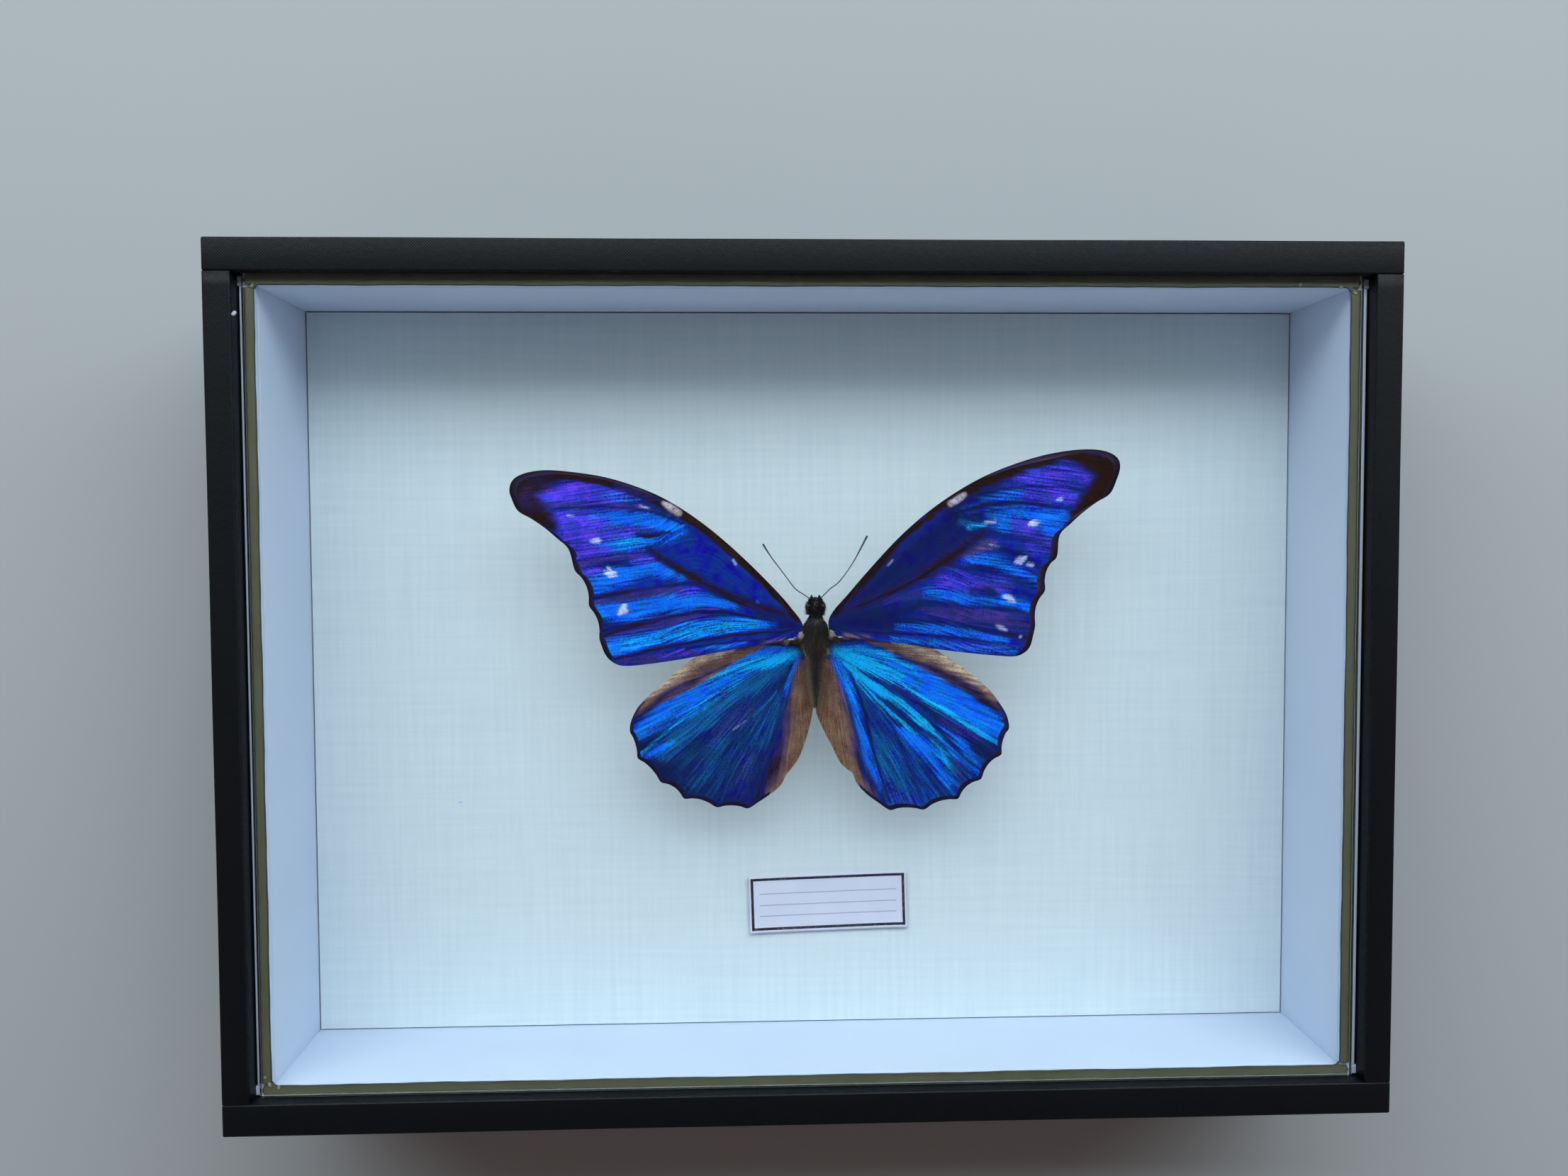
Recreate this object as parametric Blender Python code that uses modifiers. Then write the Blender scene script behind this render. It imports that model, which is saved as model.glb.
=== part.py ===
"""Framed butterfly specimen: a glazed insect box lying on its back, with one set butterfly in it.

Metres. The origin is the middle of the back face, +X runs along the length of the box, +Y towards the
butterfly's head and +Z out through the glass. "Long" pieces run along X and "short" ones along Y.
"""

import math

import bmesh
import bpy
from mathutils import Vector
from mathutils.geometry import interpolate_bezier

MM = 0.001
GAP = 0.3 * MM

# The box outside
LENGTH = 260 * MM
WIDTH = 195 * MM
DEPTH = 54 * MM
LONG_WALL = 7.2 * MM
SHORT_WALL = 6.0 * MM
LID_DEPTH = 18 * MM
WRAPPED_EDGE = 0.5 * MM

# The white card lip inside the walls, and the strips above it that carry the pane
LONG_LIP = 2.2 * MM
SHORT_LIP = 3.6 * MM
LIP_TOP = 48.0 * MM
LEDGE_THICKNESS = 1.8 * MM

# The pane, bedded on tape and pushed a little up and to the left in its opening
PANE_LENGTH = 243.8 * MM
PANE_WIDTH = 179.4 * MM
PANE_THICKNESS = 2.0 * MM
PANE_SHIFT = Vector((-0.3 * MM, 0.3 * MM))
PANE_ARRIS = 0.35 * MM
TAPE_WIDTH = 2.1 * MM
TAPE_THICKNESS = 0.3 * MM
TAPE_MARGIN = 0.1 * MM

# The bottom of the box
BOARD_THICKNESS = 4.0 * MM
FOAM_THICKNESS = 12.0 * MM
CARD_THICKNESS = 1.4 * MM

LABEL_LENGTH = 39.1 * MM
LABEL_WIDTH = 14.2 * MM
LABEL_THICKNESS = 0.35 * MM
LABEL_CENTRE = Vector((5.3 * MM, -57.4 * MM))
LABEL_TURN = math.radians(1.6)

# The butterfly: the middle of its thorax, and the height of each pair of wings at its midline
THORAX = Vector((1.4 * MM, 12.0 * MM, 34.8 * MM))
BODY_HEIGHT_RATIO = 1.08
FOREWING_LIFT = 0.4 * MM
HINDWING_LIFT = -2.4 * MM
FOREWING_TILT = math.radians(4.0)
HINDWING_TILT = math.radians(2.9)
WING_THICKNESS = 0.4 * MM
EYE_RADIUS = 1.15 * MM
EYE_OFFSET = Vector((1.5, 4.9, 0.3)) * MM
ANTENNA_RADIUS = 0.14 * MM
ANTENNA_LIFT = 1.2 * MM
ANTENNA_CLUB = 1.9
PIN_RADIUS = 0.25 * MM
PIN_TIP = 6.5 * MM
PIN_HOLE_RADIUS = 0.6 * MM

# Half sizes of the openings that the pieces above leave
INSIDE_X = LENGTH / 2 - SHORT_WALL
INSIDE_Y = WIDTH / 2 - LONG_WALL
WELL_X = INSIDE_X - GAP - SHORT_LIP
WELL_Y = INSIDE_Y - GAP - LONG_LIP
LEDGE_BOTTOM = LIP_TOP + GAP
TAPE_BOTTOM = LEDGE_BOTTOM + LEDGE_THICKNESS + GAP
PANE_BOTTOM = TAPE_BOTTOM + TAPE_THICKNESS + GAP
FOAM_BOTTOM = BOARD_THICKNESS + GAP
CARD_BOTTOM = FOAM_BOTTOM + FOAM_THICKNESS + GAP
CARD_TOP = CARD_BOTTOM + CARD_THICKNESS

# Half of the body's outline from the front of the head to the tip of the abdomen:
# (distance in front of the middle of the thorax, radius), in mm
BODY_PROFILE = [
    (7.3, 0.0),
    (6.9, 0.9),
    (6.0, 1.5),
    (4.8, 1.8),
    (3.4, 1.6),
    (2.6, 1.4),
    (1.6, 2.1),
    (0.2, 2.7),
    (-1.8, 2.8),
    (-3.8, 2.5),
    (-5.2, 1.7),
    (-6.4, 1.4),
    (-9.0, 1.4),
    (-12.5, 1.2),
    (-15.5, 0.9),
    (-17.6, 0.5),
    (-18.7, 0.0),
]

# Each wing's outline, in mm outwards and forwards from the middle of the thorax: a smooth leading edge
# from the root, the tips of the veins along the outer margin, and a smooth trailing edge to the root.
# Between two tips the margin is cut in by the depth that stands with the first of them.
FOREWING_LEFT = {
    "leading": [(3.2, 1.3), (8.0, 7.5), (17.5, 17.1), (26.7, 24.9), (36.0, 30.7), (46.3, 34.5),
                (55.2, 36.1), (62.7, 36.5), (68.1, 35.0), (69.6, 31.8), (67.8, 27.4)],
    "tips": [(56.6, 18.6, 0.0), (55.3, 14.0, 1.1), (52.1, 5.7, 0.9), (49.9, -1.8, 0.0)],
    "trailing": [(48.6, -5.4), (46.0, -7.8), (41.5, -8.1), (31.7, -6.9), (21.4, -5.1), (8.0, -2.9),
                 (3.3, -1.5)],
    "first_cut": 0.6,
}
FOREWING_RIGHT = {
    "leading": [(3.4, 2.8), (10.5, 11.3), (19.2, 20.8), (28.4, 28.6), (38.6, 34.8), (49.8, 39.0),
                (58.7, 40.8), (65.4, 40.8), (69.3, 39.1), (69.9, 36.0), (67.8, 30.9)],
    "tips": [(56.4, 21.4, 0.0), (55.8, 16.6, 1.2), (53.0, 8.6, 1.0), (50.8, 0.4, 0.0)],
    "trailing": [(49.8, -4.0), (47.6, -6.2), (43.5, -6.6), (29.8, -5.2), (20.4, -3.7), (6.2, -2.0),
                 (3.3, -1.2)],
    "first_cut": 0.6,
}
HINDWING_LEFT = {
    "leading": [(3.2, -3.6), (13.8, -4.4), (22.2, -5.9), (29.8, -9.4), (36.5, -14.0), (41.2, -18.1),
                (43.1, -21.6)],
    "tips": [(43.4, -23.8, 0.4), (41.6, -30.2, 0.6), (36.3, -35.9, 0.8), (30.9, -39.9, 0.7),
             (23.3, -42.1, 0.5), (15.9, -42.5, 0.0)],
    "trailing": [(11.5, -39.9), (8.1, -37.1), (6.9, -34.8), (4.0, -31.3), (1.6, -25.0), (0.4, -19.2),
                 (0.9, -14.0), (1.6, -9.0), (2.9, -5.0)],
    "first_cut": 0.0,
}
HINDWING_RIGHT = {
    "leading": [(3.2, -3.4), (12.0, -2.9), (20.6, -3.9), (28.3, -6.6), (35.9, -10.9), (41.3, -15.4),
                (44.9, -20.6)],
    "tips": [(45.7, -23.8, 0.6), (43.8, -30.2, 0.9), (39.0, -36.0, 0.8), (33.6, -40.7, 0.7),
             (25.6, -43.2, 0.5), (17.5, -43.3, 0.0)],
    "trailing": [(12.6, -40.0), (9.8, -37.0), (8.8, -34.6), (6.2, -32.4), (3.8, -27.8), (0.4, -20.4),
                 (0.9, -14.0), (1.6, -9.0), (2.9, -5.0)],
    "first_cut": 0.0,
}

# Each antenna's line, in mm from the middle of the thorax, from the head to the club
ANTENNA_LEFT = [(-1.3, 6.8), (-2.8, 7.9), (-4.8, 9.3), (-7.3, 12.6), (-10.3, 16.6), (-12.2, 19.6)]
ANTENNA_RIGHT = [(1.2, 7.0), (3.3, 9.1), (5.5, 10.9), (8.6, 15.2), (11.9, 21.4)]


def clear_scene():
    """Remove every object, so that the script starts from nothing."""
    for old in list(bpy.data.objects):
        bpy.data.objects.remove(old, do_unlink=True)


def new_collection(name):
    """A collection linked to the scene."""
    collection = bpy.data.collections.new(name)
    bpy.context.scene.collection.children.link(collection)
    return collection


def new_material(name, colour, roughness, transmission=0.0):
    """A Principled material with a linear colour. Even the pin shows enamel, so none is metallic."""
    material = bpy.data.materials.new(name)
    material.use_nodes = True
    shader = material.node_tree.nodes["Principled BSDF"]
    shader.inputs["Base Color"].default_value = (*colour, 1.0)
    shader.inputs["Roughness"].default_value = roughness
    shader.inputs["Metallic"].default_value = 0.0
    shader.inputs["Transmission Weight"].default_value = transmission
    return material


def place(name, data, location, material, collection):
    """An object of the given mesh or curve, with its material, in its collection."""
    piece = bpy.data.objects.new(name, data)
    piece.location = location
    data.materials.append(material)
    collection.objects.link(piece)
    return piece


def block(name, low, high, material, edge=0.0):
    """A box between two corners, its edges rounded by a Bevel if edge isn't 0."""
    low, high = Vector(low), Vector(high)
    shape = bmesh.new()
    bmesh.ops.create_cube(shape, size=1.0)
    bmesh.ops.scale(shape, vec=high - low, verts=shape.verts)
    mesh = bpy.data.meshes.new(name)
    shape.to_mesh(mesh)
    shape.free()
    piece = place(name, mesh, (low + high) / 2, material, PARTS)
    if edge > 0:
        bevel = piece.modifiers.new("edge", "BEVEL")
        bevel.width = edge
        bevel.segments = 2
    return piece


def frame_of_four(name, outer_x, outer_y, long_width, short_width, z_low, z_high, material, edge=0.0,
                  shift=Vector((0.0, 0.0))):
    """Four strips round an opening: two long ones of full length, and two short ones butted between."""
    inner_x = outer_x - short_width
    inner_y = outer_y - long_width
    strips = {
        "top": ((-outer_x, inner_y), (outer_x, outer_y)),
        "bottom": ((-outer_x, -outer_y), (outer_x, -inner_y)),
        "left": ((-outer_x, -inner_y + GAP), (-inner_x, inner_y - GAP)),
        "right": ((inner_x, -inner_y + GAP), (outer_x, inner_y - GAP)),
    }
    for side, (low, high) in strips.items():
        low, high = Vector(low) + shift, Vector(high) + shift
        block(f"{name}_{side}", (*low, z_low), (*high, z_high), material, edge)


def through(points, steps):
    """Points along the smooth (Catmull-Rom) curve through the given ones."""
    ends = [points[0] * 2 - points[1], *points, points[-1] * 2 - points[-2]]
    line = [points[0]]
    for before, start, end, after in zip(ends, ends[1:], ends[2:], ends[3:]):
        start_handle = start + (end - before) / 6
        end_handle = end - (after - start) / 6
        line += interpolate_bezier(start, start_handle, end_handle, end, steps + 1)[1:]
    return line


def cut_in(start, end, depth, steps=4):
    """Points from start to end along a shallow arc that bends in towards the wing by depth."""
    along = end - start
    inwards = Vector((along.y, -along.x)).normalized()
    turns = [step / steps for step in range(1, steps + 1)]
    return [start + along * t + inwards * depth * math.sin(math.pi * t) for t in turns]


def wing_outline(wing):
    """The closed outline of one wing, in mm, as if it were a right wing."""
    leading = [Vector(point) for point in wing["leading"]]
    trailing = [Vector(point) for point in wing["trailing"]]
    outline = through(leading, 3)
    cut = wing["first_cut"]
    for x, y, next_cut in wing["tips"]:
        outline += cut_in(outline[-1], Vector((x, y)), cut)
        cut = next_cut
    return outline + through([outline[-1], *trailing], 2)[1:]


def wing(name, shape, side, lift, tilt, material):
    """A flat wing plate: a filled 2D curve, turned up about the body's midline by tilt."""
    curve = bpy.data.curves.new(name, "CURVE")
    curve.dimensions = "2D"
    curve.fill_mode = "BOTH"
    curve.extrude = WING_THICKNESS / 2
    outline = wing_outline(shape)
    spline = curve.splines.new("POLY")
    spline.points.add(len(outline) - 1)
    for point, at in zip(spline.points, outline):
        point.co = (side * at.x * MM, at.y * MM, 0.0, 1.0)
    spline.use_cyclic_u = True
    piece = place(name, curve, THORAX + Vector((0.0, 0.0, lift)), material, PARTS)
    piece.rotation_euler.y = -side * tilt


def butterfly_body(material):
    """Head, thorax and abdomen turned as one profile about the body's axis, with the eyes joined on."""
    mesh = bpy.data.meshes.new("butterfly_body")
    points = [(radius * MM, 0.0, forwards * MM) for forwards, radius in BODY_PROFILE]
    mesh.from_pydata(points, [(i, i + 1) for i in range(len(points) - 1)], [])
    body = place("butterfly_body", mesh, THORAX, material, PARTS)
    body.rotation_euler.x = -math.pi / 2
    body.scale.y = BODY_HEIGHT_RATIO
    screw = body.modifiers.new("turn", "SCREW")
    screw.steps = 16
    screw.render_steps = 16
    screw.use_merge_vertices = True
    screw.merge_threshold = 0.00005
    screw.use_smooth_shade = True
    for side, label in ((-1, "left"), (1, "right")):
        ball = bmesh.new()
        bmesh.ops.create_uvsphere(ball, u_segments=12, v_segments=8, radius=EYE_RADIUS)
        eye_mesh = bpy.data.meshes.new(f"eye_{label}")
        ball.to_mesh(eye_mesh)
        ball.free()
        offset = Vector((side * EYE_OFFSET.x, EYE_OFFSET.y, EYE_OFFSET.z))
        eye = place(f"eye_{label}", eye_mesh, THORAX + offset, material, CUTTERS)
        eye.hide_render = True
        eye.display_type = "WIRE"
        join = body.modifiers.new(f"eye_{label}", "BOOLEAN")
        join.operation = "UNION"
        join.object = eye


def antenna(name, route, material):
    """A fine round hair that thickens to a slim club over its last quarter."""
    curve = bpy.data.curves.new(name, "CURVE")
    curve.dimensions = "3D"
    curve.bevel_depth = ANTENNA_RADIUS
    curve.bevel_resolution = 1
    curve.use_fill_caps = True
    line = through([Vector((x, y, 0.0)) for x, y in route], 3)
    spline = curve.splines.new("POLY")
    spline.points.add(len(line) - 1)
    for index, (point, at) in enumerate(zip(spline.points, line)):
        along = index / (len(line) - 1)
        club = min(1.0, max(0.0, (along - 0.75) / 0.2))
        point.co = (at.x * MM, at.y * MM, ANTENNA_LIFT * along, 1.0)
        point.radius = 1.0 + (ANTENNA_CLUB - 1.0) * club
    place(name, curve, THORAX + Vector((0.0, 0.0, ANTENNA_LIFT)), material, PARTS)


def upright_cylinder(name, radius, z_low, z_high, tip_radius, material, collection):
    """A cylinder or cone on the pin's axis, tip_radius being its radius at z_low."""
    shape = bmesh.new()
    bmesh.ops.create_cone(
        shape,
        cap_ends=True,
        segments=12,
        radius1=tip_radius,
        radius2=radius,
        depth=z_high - z_low,
    )
    mesh = bpy.data.meshes.new(name)
    shape.to_mesh(mesh)
    shape.free()
    mesh.shade_smooth()
    mesh.set_sharp_from_angle(angle=math.radians(40))
    centre = (THORAX.x, THORAX.y, (z_low + z_high) / 2)
    return place(name, mesh, centre, material, collection)


def pierce(piece, cutter):
    """Cut the pin's hole through a piece."""
    hole = piece.modifiers.new("pin_hole", "BOOLEAN")
    hole.operation = "DIFFERENCE"
    hole.object = cutter


clear_scene()
PARTS = new_collection("framed_butterfly_specimen")
CUTTERS = new_collection("cutters")

cloth_paper = new_material("black_cloth_paper", (0.011, 0.013, 0.016), 0.62)
white_card = new_material("white_card", (0.74, 0.78, 0.84), 0.85)
gummed_tape = new_material("olive_gummed_tape", (0.16, 0.15, 0.09), 0.6)
glass = new_material("picture_glass", (0.95, 0.98, 0.97), 0.02, transmission=1.0)
foam = new_material("white_foam", (0.8, 0.8, 0.8), 0.9)
wing_scales = new_material("blue_wing_scales", (0.01, 0.12, 0.65), 0.38)
black_hair = new_material("black_body_hair", (0.008, 0.007, 0.007), 0.7)
black_steel = new_material("black_enamelled_steel", (0.01, 0.01, 0.01), 0.3)

# The tray: its walls, and the board, foam and card that lie in it
frame_of_four("base_wall", LENGTH / 2, WIDTH / 2, LONG_WALL, SHORT_WALL, 0.0, DEPTH - LID_DEPTH - GAP,
              cloth_paper, WRAPPED_EDGE)
block("bottom_board", (-INSIDE_X + GAP, -INSIDE_Y + GAP, 0.0), (INSIDE_X - GAP, INSIDE_Y - GAP,
      BOARD_THICKNESS), cloth_paper)
frame_of_four("liner", INSIDE_X - GAP, INSIDE_Y - GAP, LONG_LIP, SHORT_LIP, FOAM_BOTTOM, LIP_TOP,
              white_card)
hole_cutter = upright_cylinder("pin_hole_cutter", PIN_HOLE_RADIUS, PIN_TIP - GAP, CARD_TOP + MM,
                               PIN_HOLE_RADIUS, foam, CUTTERS)
hole_cutter.hide_render = True
hole_cutter.display_type = "WIRE"
for slab_name, bottom, thickness, slab_material in (
    ("foam_slab", FOAM_BOTTOM, FOAM_THICKNESS, foam),
    ("background_card", CARD_BOTTOM, CARD_THICKNESS, white_card),
):
    slab = block(slab_name, (-WELL_X + GAP, -WELL_Y + GAP, bottom),
                 (WELL_X - GAP, WELL_Y - GAP, bottom + thickness), slab_material)
    pierce(slab, hole_cutter)

# The lid: its rails, the strips that carry the pane, the tape and the pane
frame_of_four("lid_rail", LENGTH / 2, WIDTH / 2, LONG_WALL, SHORT_WALL, DEPTH - LID_DEPTH, DEPTH,
              cloth_paper, WRAPPED_EDGE)
frame_of_four("lid_ledge", INSIDE_X - GAP, INSIDE_Y - GAP, LONG_LIP, SHORT_LIP, LEDGE_BOTTOM,
              LEDGE_BOTTOM + LEDGE_THICKNESS, white_card)
frame_of_four("pane_tape", PANE_LENGTH / 2 - TAPE_MARGIN, PANE_WIDTH / 2 - TAPE_MARGIN, TAPE_WIDTH,
              TAPE_WIDTH, TAPE_BOTTOM, TAPE_BOTTOM + TAPE_THICKNESS, gummed_tape, shift=PANE_SHIFT)
block(
    "glass_pane",
    (PANE_SHIFT.x - PANE_LENGTH / 2, PANE_SHIFT.y - PANE_WIDTH / 2, PANE_BOTTOM),
    (PANE_SHIFT.x + PANE_LENGTH / 2, PANE_SHIFT.y + PANE_WIDTH / 2, PANE_BOTTOM + PANE_THICKNESS),
    glass,
    PANE_ARRIS,
)

# The label, lying a little askew on the card
label_card = block("label", (-LABEL_LENGTH / 2, -LABEL_WIDTH / 2, 0.0),
                   (LABEL_LENGTH / 2, LABEL_WIDTH / 2, LABEL_THICKNESS), white_card)
label_card.location = (*LABEL_CENTRE, CARD_TOP + GAP + LABEL_THICKNESS / 2)
label_card.rotation_euler.z = LABEL_TURN

# The butterfly and its pin
butterfly_body(black_hair)
wing("forewing_left", FOREWING_LEFT, -1, FOREWING_LIFT, FOREWING_TILT, wing_scales)
wing("forewing_right", FOREWING_RIGHT, 1, FOREWING_LIFT, FOREWING_TILT, wing_scales)
wing("hindwing_left", HINDWING_LEFT, -1, HINDWING_LIFT, HINDWING_TILT, wing_scales)
wing("hindwing_right", HINDWING_RIGHT, 1, HINDWING_LIFT, HINDWING_TILT, wing_scales)
antenna("antenna_left", ANTENNA_LEFT, black_hair)
antenna("antenna_right", ANTENNA_RIGHT, black_hair)
thorax_underside = THORAX.z - max(radius for _, radius in BODY_PROFILE) * MM * BODY_HEIGHT_RATIO
upright_cylinder("pin", PIN_RADIUS, PIN_TIP, thorax_underside - GAP, 0.05 * MM, black_steel, PARTS)
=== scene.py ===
import math

import bmesh
import bpy
import numpy as np
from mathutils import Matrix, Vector


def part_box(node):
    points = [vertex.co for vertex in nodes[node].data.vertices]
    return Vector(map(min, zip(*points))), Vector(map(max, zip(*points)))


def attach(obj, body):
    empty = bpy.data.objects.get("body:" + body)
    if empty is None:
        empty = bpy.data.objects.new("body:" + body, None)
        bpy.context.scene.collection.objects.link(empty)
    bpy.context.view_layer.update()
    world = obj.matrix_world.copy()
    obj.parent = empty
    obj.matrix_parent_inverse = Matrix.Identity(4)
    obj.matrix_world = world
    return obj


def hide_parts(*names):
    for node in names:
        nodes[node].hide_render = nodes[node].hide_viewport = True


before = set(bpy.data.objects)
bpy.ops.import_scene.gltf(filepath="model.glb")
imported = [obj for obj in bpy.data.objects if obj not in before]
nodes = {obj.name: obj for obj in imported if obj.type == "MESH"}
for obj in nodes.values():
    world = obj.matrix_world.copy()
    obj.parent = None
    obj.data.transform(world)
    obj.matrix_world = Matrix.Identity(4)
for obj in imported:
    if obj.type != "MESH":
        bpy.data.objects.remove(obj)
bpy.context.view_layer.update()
MM = 0.001


# The stage: a plain pale floor, a broad soft daylight lamp beyond the far long side of the box, a
# dim room all round, and a camera that looks almost straight down on the glass.
def linear(colour):
    """An sRGB hex colour as linear red, green, blue and alpha, by the sRGB curve."""
    parts = [int(colour[i:i + 2], 16) / 255 for i in (1, 3, 5)]
    return (*[p / 12.92 if p <= 0.04045 else ((p + 0.055) / 1.055) ** 2.4 for p in parts], 1.0)


def wire(tree, node, inputs):
    """Sets each input of a node to a value, or links it to a socket, by its name or number."""
    for key, value in inputs.items():
        if isinstance(value, bpy.types.NodeSocket):
            tree.links.new(value, node.inputs[key])
        else:
            node.inputs[key].default_value = value


def add(tree, kind, settings=None, inputs=None):
    """Adds a node, sets its properties, and sets or links its inputs."""
    made = tree.nodes.new("ShaderNode" + kind)
    for key, value in (settings or {}).items():
        setattr(made, key, value)
    wire(tree, made, inputs or {})
    return made


def new_material(name):
    """A material with its tree and its Principled shader."""
    material = bpy.data.materials.new(name)
    material.use_nodes = True
    return material, material.node_tree, material.node_tree.nodes["Principled BSDF"]


def new_piece(name, mesh, material):
    """An object at the origin that shows the mesh in the material."""
    piece = bpy.data.objects.new(name, mesh)
    bpy.context.scene.collection.objects.link(piece)
    mesh.materials.append(material)
    return piece


scene = bpy.context.scene
scene.view_settings.view_transform = "Standard"

floor_paint, tree, shader = new_material("matt_white_floor_paint")
spots = add(tree, "TexNoise", inputs={"Vector": add(tree, "TexCoord").outputs["Object"], "Scale": 6.0})
tone = add(tree, "Mix", {"data_type": "RGBA"}, {0: spots.outputs["Fac"], 6: linear("#c9ced2"),
                                                7: linear("#cfd4d8")})
wire(tree, shader, {"Base Color": tone.outputs[2], "Roughness": 0.8})
floor_mesh = bpy.data.meshes.new("floor")
floor_mesh.from_pydata([(-3, -3, 0), (3, -3, 0), (3, 3, 0), (-3, 3, 0)], [], [(0, 1, 2, 3)])
floor = new_piece("floor", floor_mesh, floor_paint)
floor.location.z = -0.0002

# The window lamp stands 37 to 60 degrees up, so the far rim throws a shadow that fades out over
# 30 mm. It lies outside what the pane mirrors to the camera, so the glass stays clear.
lamp_data = bpy.data.lights.new("window_lamp", "AREA")
lamp_data.shape = "RECTANGLE"
lamp_data.size = 2.4
lamp_data.size_y = 0.40
lamp_data.energy = 13.0
lamp_data.color = (0.81, 0.93, 0.98)
lamp = bpy.data.objects.new("window_lamp", lamp_data)
lamp.location = (0.03, 0.643, 0.756)
lamp.rotation_euler = (Vector((0, 0, 0.03)) - lamp.location).to_track_quat("-Z", "Y").to_euler()
scene.collection.objects.link(lamp)

# Wings let daylight through, so sixty parts in a hundred of the light come from a second lamp in the
# same place, whose light the wings don't stop, and their shadow is faint.
THROUGH_WINGS = 0.6
through_lamp = lamp.copy()
through_lamp.data = lamp_data.copy()
through_lamp.name = "window_lamp_through_wings"
through_lamp.data.energy *= THROUGH_WINGS
lamp_data.energy *= 1 - THROUGH_WINGS
scene.collection.objects.link(through_lamp)

# The room is darker overhead than round the sides, so the glass mirrors little of it to the camera.
room = bpy.data.worlds.new("room")
room.use_nodes = True
scene.world = room
tree = room.node_tree
height = add(tree, "SeparateXYZ", inputs={0: add(tree, "TexCoord").outputs["Generated"]})
overhead = add(tree, "MapRange", {"interpolation_type": "SMOOTHSTEP"},
               {"Value": height.outputs["Z"], "From Min": 0.62, "From Max": 0.92})
sky = add(tree, "Mix", {"data_type": "RGBA"}, {0: overhead.outputs[0], 6: (0.17, 0.135, 0.125, 1),
                                               7: (0.05, 0.042, 0.040, 1)})
tree.links.new(sky.outputs[2], tree.nodes["Background"].inputs["Color"])

camera_data = bpy.data.cameras.new("camera")
camera_data.lens = 29.13
camera_data.sensor_width = 36.0
camera = bpy.data.objects.new("camera", camera_data)
camera.location = (-16.5 * MM, 34.7 * MM, 330.0 * MM)
camera.rotation_euler = [math.radians(turn) for turn in (-2.587, -2.073, -0.240)]
scene.collection.objects.link(camera)
scene.camera = camera


# The covering of the lid and the tray: black book-cloth paper, glued round the board. Its linen
# grain follows the sheet round the edges, and the edges themselves are rubbed a little paler.
def grid_faces(rows, columns):
    """The four corner numbers of each square of a grid of points numbered row by row."""
    number = np.arange(rows * columns).reshape(rows, columns)
    return np.stack([number[:-1, :-1], number[:-1, 1:], number[1:, 1:], number[1:, :-1]], -1).reshape(-1, 4)


def solid_mesh(name, grid, uv=None, values=None):
    """A closed mesh over a grid of points, rows by columns, whose last column repeats the first.

    Rows run from one pole to the other. Points that coincide are merged, which closes the seam and
    the poles, and the faces are turned outwards. uv and values are per grid point.
    """
    faces = grid_faces(*grid.shape[:2])
    mesh = bpy.data.meshes.new(name)
    mesh.from_pydata(grid.reshape(-1, 3), [], faces)
    if uv is not None:
        layer = mesh.uv_layers.new(name="sheet")
        layer.data.foreach_set("uv", uv.reshape(-1, 2)[faces.ravel()].ravel())
    for key, value in (values or {}).items():
        layer = mesh.attributes.new(key, "FLOAT", "POINT")
        layer.data.foreach_set("value", value.ravel().astype(np.float32))
    shape = bmesh.new()
    shape.from_mesh(mesh)
    bmesh.ops.remove_doubles(shape, verts=shape.verts, dist=1e-7)
    bmesh.ops.dissolve_degenerate(shape, edges=shape.edges, dist=1e-8)
    bmesh.ops.recalc_face_normals(shape, faces=shape.faces)
    shape.to_mesh(mesh)
    shape.free()
    mesh.shade_smooth()
    return mesh


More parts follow.
